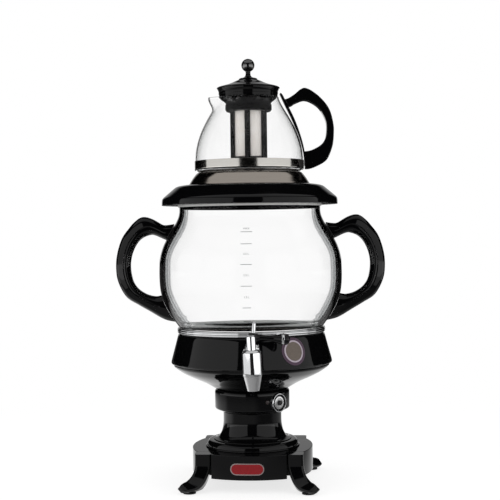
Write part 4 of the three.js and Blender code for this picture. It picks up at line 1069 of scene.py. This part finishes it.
def strip_lugs():
    """Small dark lugs that hold the steel strip from below."""
    count = 24
    sweep = 6.6
    lugs = []
    for place in range(count):
        made = start("lug", 68.2, 0, 394.7)
        extrude(0.7, 0, 0)
        bpy.ops.mesh.select_all(action="SELECT")
        bpy.ops.mesh.spin(steps=4, angle=math.radians(sweep), center=(0, 0, 0), axis=(0, 0, 1))
        bpy.ops.mesh.select_all(action="SELECT")
        extrude(0, 0, 1.1)
        close_skin()
        set_down(made, ON_AXIS @ turned_by(360 / count * place - 0.7, "Z"))
        lugs.append(made)
    dress(join("hoop_lugs", lugs), abs_black, "teapot", "black_plastic")


strip_lugs()

POT_GRIP_OUTER = [
    (45.2, 482.8), (50.4, 484.2), (58.7, 489.5), (64.8, 494.6), (70.4, 497.0), (75.6, 495.6),
    (81.0, 492.6), (89.7, 485.6), (98.5, 475.6), (103.8, 464.9), (106.9, 450.7), (107.3, 440.9),
    (105.9, 425.7), (101.2, 411.8), (95.8, 404.0), (84.2, 397.6), (75.6, 395.2), (70.2, 395.0)]
POT_GRIP_INNER = [
    (49.8, 474.6), (53.4, 474.4), (61.2, 478.7), (70.1, 481.3), (79.0, 478.5), (87.8, 472.2),
    (93.9, 463.2), (97.8, 452.5), (98.0, 441.0), (96.1, 432.1), (90.7, 425.0), (81.8, 419.8),
    (75.0, 417.6), (68.4, 416.9)]
STRAP_OUTER = [(40.6, 491.6), (43.2, 489.0), (47.4, 480.4), (51.8, 471.6), (58.4, 457.4), (64.2, 441.4),
               (68.2, 427.4), (70.6, 414.0), (71.2, 400.0)]
STRAP_INNER = [(39.4, 489.6), (40.6, 487.0), (43.2, 481.0), (47.6, 471.6), (54.2, 457.6), (60.4, 442.4),
               (65.6, 427.6), (68.5, 414.0), (69.4, 400.0)]

STRAP_POINTS = 50


def pot_handle():
    """Loop handle with a thin strap that lies along the glass."""
    grip = strip_between("pot_grip", even(curved(POT_GRIP_OUTER, 6), HANDLE_POINTS),
                         even(curved(POT_GRIP_INNER, 6), HANDLE_POINTS), depth=15.0, edge=3.0, segments=5)
    strap = strip_between("strap", even(curved(STRAP_OUTER, 5), STRAP_POINTS),
                          even(curved(STRAP_INNER, 5), STRAP_POINTS), depth=9.0, edge=0.8, segments=3)
    cut(grip, strap, "UNION")
    tool = turned("belly", [(0, 391.7)] + [(r + POT_HANDLE_GAP, z) for r, z in pot_outline[1:]]
                  + [(38.6, 487.2), (0, 487.2)], steps=120, edge=0)
    cut(grip, tool)
    tool = turned("hoop", [(60.0, 395.6), (69.5, 395.6), (69.5, 406.4), (60.0, 406.4)], steps=120, edge=0)
    cut(grip, tool)
    set_down(grip, Matrix.Identity(4))
    dress(grip, abs_black, "teapot", "black_plastic", "teapot_handle")


pot_handle()


def infuser():
    """Slotted collar, six ribs between two hoops, and the woven screen inside them."""
    collar_points = [(21.1, 468.4), (27.9, 468.4), (28.6, 469.2), (28.6, 478.2)] + curved([
        (28.6, 478.2), (30.2, 480.2), (33.6, 482.8), (35.4, 484.6), (35.6, 486.1)], 4)[1:] + [
        (37.0, 486.1), (37.2, 489.6), (37.6, 490.0), (37.6, 492.6), (37.3, 493.0), (38.2, 494.4),
        (38.9, 496.9), (35.0, 496.9), (34.6, 490.0), (33.2, 486.4), (31.6, 484.4),
        (28.0, 481.8), (26.4, 479.0), (26.4, 470.6), (21.1, 470.6)]
    collar_piece = turned("infuser_ring", collar_points, steps=120, edge=0.12)
    dress(collar_piece, abs_black, "infuser", "black_plastic", "infuser_collar")
    flutes = ring_of("flute", 60, 0.0, (29.0, 473.4), (0.7, 1.1, 6.6), 0.25)
    dress(join("collar_flutes", flutes), abs_black, "infuser", "black_plastic")

    cage = turned("infuser_cage", [
        (0, 408.7), (22.8, 408.7), (23.2, 409.2), (23.2, 409.8), (21.1, 409.8), (0, 409.8)],
        steps=96, edge=0.1)
    ribs = ring_of("rib", 6, -94.0, (22.7, 438.6), (3.4, 7.0, 58.6), 0.6)
    cage = join("infuser_cage", [cage, *ribs])
    set_down(cage, Matrix.Identity(4))
    dress(cage, ribs_charcoal, "infuser", "black_plastic", "infuser_frame")

    sieve = turned("infuser_screen", [
        (0, 411.0), (20.2, 411.0), (SCREEN_RADIUS, 411.6), (SCREEN_RADIUS, 468.1), (20.2, 468.1),
        (20.2, 411.8), (0, 411.8)], steps=120, edge=0.1)
    dress(sieve, screen, "infuser", "stainless_steel", "infuser_mesh")


infuser()

lid_outline = [(0, 504.6), (20.0, 501.6), (30.0, 498.6), (33.0, 497.3), (32.6, 490.4), (33.2, 490.2),
               (34.4, 496.9), (39.4, 497.2), (39.9, 497.7)] + curved([
    (39.6, 498.4), (38.0, 499.2), (34.0, 500.3), (29.4, 501.6), (25.0, 503.0), (20.6, 504.8),
    (16.6, 506.7), (13.4, 508.0), (12.0, 508.5)], 5) + [(0, 508.6)]
pot_lid = turned("pot_lid_dome", lid_outline, steps=120, edge=0.15)
dress(pot_lid, abs_black, "teapot_lid", "black_plastic", "teapot_lid")

ball_outline = [(0, 518.9), (3.2, 519.0)] + [
    (8.3 * math.cos(math.radians(a)), 526.8 + 8.3 * math.sin(math.radians(a)))
    for a in range(-66, 90, 6)] + [(0, 535.1)]
ball = turned("pot_lid_ball", ball_outline, steps=72, edge=0)
dress(ball, knob_resin, "teapot_lid", "black_plastic", "lid_knob")
neck_outline = [(0, 508.9), (11.2, 508.9), (11.9, 509.5)] + curved([
    (11.4, 510.2), (8.0, 510.9), (5.4, 511.9), (3.8, 513.4), (3.15, 515.4), (3.1, 517.6),
    (3.2, 518.7)], 4)[1:] + [(0, 518.8)]
neck = turned("pot_lid_neck", neck_outline, steps=72, edge=0)
dress(neck, abs_black, "teapot_lid", "black_plastic")

# Plates

PLATE_START = 90.0  # from the axis to the flat plate, before it is laid on its panel
BADGE_START = 130.0


def lay_on(piece, carrier, place, proud):
    """Lays a flat piece on its carrier from the front, where the piece's place is still undone."""
    target = copy_of(bpy.data.objects[carrier], "target", place.inverted())
    pick(piece)
    modify(piece, "SHRINKWRAP", target=target, wrap_method="PROJECT", wrap_mode="ABOVE_SURFACE",
           use_project_x=False, use_project_y=True, use_project_z=False,
           use_negative_direction=False, use_positive_direction=True, offset=proud * MM)
    bpy.data.objects.remove(target)


def front_plate():
    plate = pill_plate()
    across, up = PLATE_MIDDLE
    set_down(plate, Matrix.Translation((across * MM, -PLATE_START * MM, up * MM)))
    lay_on(plate, "plinth_shell", BASE, 0.25)
    modify(plate, "SOLIDIFY", thickness=0.9 * MM, offset=1)
    set_down(plate, BASE)
    dress(plate, red_enamel, "root", "red_plastic")
    plate.data.materials.append(rim_silver)
    for face in plate.data.polygons:
        spot = BASE.inverted() @ face.center
        along = max(abs(spot.x / MM - across) - PLATE_HALF, 0)
        on_rim = math.hypot(along, spot.z / MM - up) > PLATE_HIGH - PLATE_RIM
        face.material_index = 1 if on_rim else 0


front_plate()


def badge():
    """Bare round foil badge on the band."""
    place = ON_AXIS @ turned_by(BADGE_TURN, "Z")
    for name, outer, inner, proud, finish in (
            ("badge_edge", 16.4, 12.9, 0.25, badge_violet), ("badge_hoop", 13.0, 11.2, 0.45, badge_silver),
            ("badge_field", 11.3, 0.0, 0.3, badge_taupe)):
        made = start(name, inner, 0, 0)
        steps = max(int((outer - inner) / 1.5), 1)
        draw([(inner + (outer - inner) * s / steps, 0, 0) for s in range(steps + 1)])
        bpy.ops.mesh.select_all(action="SELECT")
        bpy.ops.mesh.spin(steps=72, angle=math.tau, center=(0, 0, 0), axis=(0, 0, 1))
        close_skin()
        set_down(made, Matrix.Translation((0, -BADGE_START * MM, BADGE_HEIGHT * MM)) @ turned_by(90, "X"))
        lay_on(made, "body_belt", place, proud)
        modify(made, "SOLIDIFY", thickness=0.2 * MM, offset=-1)
        set_down(made, place)
        dress(made, finish, "root", "stainless_steel")


badge()

# CAD nodes that stay in view

for name, finish in {
        "tie_rod": nickel, "tie_nut": nickel, "thermostat_body": nickel, "heating_element": nickel,
        "boil_dry_sensor": nickel, "band_screw": nickel, "tap_nut": brass, "tap_washer": silicone,
        "tank_seal": silicone, "lid_seal": silicone, "tank_pan": steel_pan, "base_cover": abs_satin,
        "cord_gland": abs_satin}.items():
    for place in cad[name].material_slots:
        place.material = finish
for corner in ("front_left", "front_right", "back_right", "back_left"):
    for place in cad["foot_pad_" + corner].material_slots:
        place.material = rubber

# Studio


SOFTBOX_AWAY = 1.3  # metres, as all lengths of the studio


def softbox(name, azimuth, height, width, tall, level):
    """Rectangular light on the front side, at an azimuth from the camera, facing the samovar."""
    angle = math.radians(azimuth)
    place = Vector((math.sin(angle) * SOFTBOX_AWAY, -math.cos(angle) * SOFTBOX_AWAY, height))
    bpy.ops.object.light_add(type="AREA", location=place)
    made = bpy.context.object
    made.name = name
    made.data.shape = "RECTANGLE"
    made.data.size = width
    made.data.size_y = tall
    made.data.energy = level * math.pi * width * tall
    target = Vector((0, 0, height))
    made.rotation_euler = (target - place).to_track_quat("-Z", "Y").to_euler()
    made.visible_camera = False
    made.visible_transmission = False


softbox("softbox_left", -60, 0.53, 2.15, 1.04, 0.85)
softbox("softbox_right", 56, 0.53, 2.15, 1.04, 0.85)


def kinds_of_ray(tree):
    """1 or 0 for plain and for shiny rays.

    Plain ones reach the eye directly or through clear pieces only. Shiny ones come from a mirroring
    or a clear surface.
    """
    path = add(tree, "ShaderNodeLightPath")
    unmirrored = add(tree, "ShaderNodeMath", {0: path.outputs["Glossy Depth"], 1: 0.5},
                     operation="LESS_THAN")
    through = add(tree, "ShaderNodeMath", {0: path.outputs["Is Transmission Ray"],
                                           1: unmirrored.outputs[0]}, operation="MULTIPLY")
    plain = add(tree, "ShaderNodeMath", {0: path.outputs["Is Camera Ray"], 1: through.outputs[0]},
                operation="MAXIMUM")
    shiny = add(tree, "ShaderNodeMath", {0: path.outputs["Is Glossy Ray"],
                                         1: path.outputs["Is Transmission Ray"]}, operation="MAXIMUM")
    return plain.outputs[0], shiny.outputs[0]


def studio_world():
    """White behind the camera's rays, a dim studio for what the surfaces mirror."""
    world = bpy.data.worlds.new("studio")
    bpy.context.scene.world = world
    world.use_nodes = True
    tree = world.node_tree
    tree.nodes.clear()
    spot = add(tree, "ShaderNodeTexCoord")
    parts = add(tree, "ShaderNodeSeparateXYZ", {"Vector": spot.outputs["Generated"]})
    # A pale wall behind the samovar: brightest at the horizon, with a strip light above it
    azimuth = add(tree, "ShaderNodeMath", {0: parts.outputs["X"], 1: parts.outputs["Y"]},
                  operation="ARCTAN2")
    side = add(tree, "ShaderNodeMath", {0: azimuth.outputs[0]}, operation="ABSOLUTE")
    behind = add(tree, "ShaderNodeMapRange", {
        "Value": side.outputs[0], "From Min": 0.24, "From Max": 0.4, "To Min": 1.0, "To Max": 0.0,
    }, interpolation_type="SMOOTHSTEP")
    horizon = add(tree, "ShaderNodeMapRange", {
        "Value": parts.outputs["Z"], "From Min": 0.04, "From Max": 0.12, "To Min": 0.6, "To Max": 0.0,
    }, interpolation_type="SMOOTHSTEP")
    low = add(tree, "ShaderNodeMapRange", {
        "Value": parts.outputs["Z"], "From Min": 0.34, "From Max": 0.5, "To Min": 0.4, "To Max": 0.0,
    }, interpolation_type="SMOOTHSTEP")
    strip_light = add(tree, "ShaderNodeMath", {0: parts.outputs["Z"], 1: 0.63, 2: 0.08},
                      operation="COMPARE")
    strip_level = add(tree, "ShaderNodeMath", {0: strip_light.outputs[0], 1: 0.5, 2: low.outputs[0]},
                      operation="MULTIPLY_ADD")
    wall = add(tree, "ShaderNodeMath", {0: horizon.outputs[0], 1: strip_level.outputs[0]},
               operation="ADD")
    backdrop = add(tree, "ShaderNodeMath", {0: behind.outputs[0], 1: wall.outputs[0]},
                   operation="MULTIPLY")
    # A pale ceiling over the front, whose rear edge slants back to both sides
    high = add(tree, "ShaderNodeMapRange", {
        "Value": parts.outputs["Z"], "From Min": 0.6, "From Max": 0.68, "To Min": 0.0, "To Max": 0.62,
    }, interpolation_type="SMOOTHSTEP")
    across = add(tree, "ShaderNodeMath", {0: parts.outputs["X"]}, operation="ABSOLUTE")
    slant = add(tree, "ShaderNodeMath", {0: across.outputs[0], 1: -0.4, 2: parts.outputs["Y"]},
                operation="MULTIPLY_ADD")
    skew = add(tree, "ShaderNodeMath", {0: parts.outputs["X"], 1: -0.1, 2: slant.outputs[0]},
               operation="MULTIPLY_ADD")
    ahead = add(tree, "ShaderNodeMapRange", {
        "Value": skew.outputs[0], "From Min": 0.09, "From Max": 0.13, "To Min": 1.0, "To Max": 0.0,
    }, interpolation_type="SMOOTHSTEP")
    overhead = add(tree, "ShaderNodeMath", {0: high.outputs[0], 1: ahead.outputs[0]},
                   operation="MULTIPLY")
    mirrored = add(tree, "ShaderNodeMath", {0: backdrop.outputs[0], 1: overhead.outputs[0]},
                   operation="ADD")
    plain, shiny = kinds_of_ray(tree)
    glossy = add(tree, "ShaderNodeMix", {0: shiny, 2: 0.58, 3: mirrored.outputs[0]},
                 data_type="FLOAT")
    level = add(tree, "ShaderNodeMix", {0: plain, 2: glossy.outputs[0], 3: 1.0}, data_type="FLOAT")
    light = add(tree, "ShaderNodeBackground", {"Color": (1, 1, 1, 1), "Strength": level.outputs[0]})
    add(tree, "ShaderNodeOutputWorld", {"Surface": light.outputs[0]})


FLOOR_SIZE = 60
FLOOR_LEVEL = -0.0001  # just under the foot pads


def floor():
    """Pale floor: white to the camera, with the samovar's own soft shadow."""
    bpy.ops.object.select_all(action="DESELECT")
    bpy.ops.mesh.primitive_plane_add(size=FLOOR_SIZE, location=(0, 0, FLOOR_LEVEL))
    made = bpy.context.object
    made.name = "floor"
    bpy.ops.object.transform_apply(location=True, rotation=True, scale=True)
    material, tree = start_material("painted_white_board")
    spot = add(tree, "ShaderNodeTexCoord")
    parts = add(tree, "ShaderNodeSeparateXYZ", {"Vector": spot.outputs["Object"]})
    flat = add(tree, "ShaderNodeCombineXYZ", {"X": parts.outputs["X"], "Y": parts.outputs["Y"]})
    reach = add(tree, "ShaderNodeVectorMath", {0: flat.outputs[0]}, operation="LENGTH")
    # What the camera sees: a board that takes the soft shadow, and plain white farther out
    near = add(tree, "ShaderNodeMapRange", {
        "Value": reach.outputs["Value"], "From Min": 0.12, "From Max": 0.75, "To Min": 1.0,
        "To Max": 0.0}, interpolation_type="SMOOTHSTEP")
    board = add(tree, "ShaderNodeBsdfDiffuse", {"Color": linear("#dddddd")})
    shaded = add(tree, "ShaderNodeBsdfDiffuse", {"Color": linear("#b4b4b4")})
    glow = add(tree, "ShaderNodeEmission", {"Color": (1, 1, 1, 1), "Strength": 0.74})
    close_up = add(tree, "ShaderNodeAddShader")
    tree.links.new(shaded.outputs[0], close_up.inputs[0])
    tree.links.new(glow.outputs[0], close_up.inputs[1])
    white = add(tree, "ShaderNodeEmission", {"Color": (1, 1, 1, 1), "Strength": 1.0})
    seen = add(tree, "ShaderNodeMixShader", {0: near.outputs["Result"]})
    tree.links.new(white.outputs[0], seen.inputs[1])
    tree.links.new(close_up.outputs[0], seen.inputs[2])
    # What the surfaces mirror: a painted glow, paler to the back and the left, and a painted pool of softbox
    # light farther out
    back = add(tree, "ShaderNodeMapRange", {
        "Value": parts.outputs["Y"], "From Min": -0.16, "From Max": 0.06, "To Min": 0.33,
        "To Max": 1.0}, interpolation_type="SMOOTHSTEP")
    right = add(tree, "ShaderNodeMapRange", {
        "Value": parts.outputs["X"], "From Min": 0.0, "From Max": 0.3, "To Min": 1.0,
        "To Max": 0.35}, interpolation_type="SMOOTHSTEP")
    both = add(tree, "ShaderNodeMath", {0: back.outputs["Result"], 1: right.outputs["Result"]},
               operation="MULTIPLY")
    far = add(tree, "ShaderNodeMapRange", {
        "Value": reach.outputs["Value"], "From Min": 0.6, "From Max": 0.95, "To Min": 1.0,
        "To Max": 0.05}, interpolation_type="SMOOTHSTEP")
    painted_glow_near = add(tree, "ShaderNodeMath", {0: both.outputs[0], 1: far.outputs["Result"]},
                   operation="MULTIPLY")
    facing_front = add(tree, "ShaderNodeMath", {0: parts.outputs["Y"], 1: -1.0}, operation="MULTIPLY")
    azimuth = add(tree, "ShaderNodeMath", {0: parts.outputs["X"], 1: facing_front.outputs[0]},
                  operation="ARCTAN2")
    off_middle = add(tree, "ShaderNodeMath", {0: azimuth.outputs[0]}, operation="ABSOLUTE")
    # Painted light: a pool under the softboxes farther out, which only mirrored rays see
    under_lights = add(tree, "ShaderNodeMath", {0: off_middle.outputs[0], 1: 1.19, 2: 0.85},
                       operation="COMPARE")
    out_there = add(tree, "ShaderNodeMath", {0: reach.outputs["Value"], 1: 0.86},
                    operation="GREATER_THAN")
    painted_softbox_pool = add(tree, "ShaderNodeMath", {0: under_lights.outputs[0], 1: out_there.outputs[0]},
                operation="MULTIPLY")
    level = add(tree, "ShaderNodeMath", {0: painted_softbox_pool.outputs[0], 1: 0.85, 2: painted_glow_near.outputs[0]},
                operation="MULTIPLY_ADD")
    mirrored = add(tree, "ShaderNodeEmission", {"Color": (1, 1, 1, 1), "Strength": level.outputs[0]})
    plain, shiny = kinds_of_ray(tree)
    glossy = add(tree, "ShaderNodeMixShader", {0: shiny})
    tree.links.new(board.outputs[0], glossy.inputs[1])
    tree.links.new(mirrored.outputs[0], glossy.inputs[2])
    all_rays = add(tree, "ShaderNodeMixShader", {0: plain})
    tree.links.new(glossy.outputs[0], all_rays.inputs[1])
    tree.links.new(seen.outputs[0], all_rays.inputs[2])
    add(tree, "ShaderNodeOutputMaterial", {"Surface": all_rays.outputs[0]})
    made.data.materials.append(material)


studio_world()
floor()

# Camera

CAMERA_PLACE = (-0.0004, -1.458, 0.320)  # metres
CAMERA_DOWN = 1.046  # degrees below the horizon
CAMERA_ROLL = -0.745

bpy.ops.object.camera_add(location=(0, 0, 0))
camera = bpy.context.object
camera.name = "camera"
camera.data.sensor_width = 36.0
camera.data.lens = 82.8
camera.data.dof.use_dof = False
camera.matrix_world = (
    ON_AXIS @ Matrix.Translation(CAMERA_PLACE)
    @ turned_by(90 - CAMERA_DOWN, "X") @ turned_by(CAMERA_ROLL, "Z"))
bpy.context.scene.camera = camera
bpy.context.scene.view_settings.view_transform = "Standard"
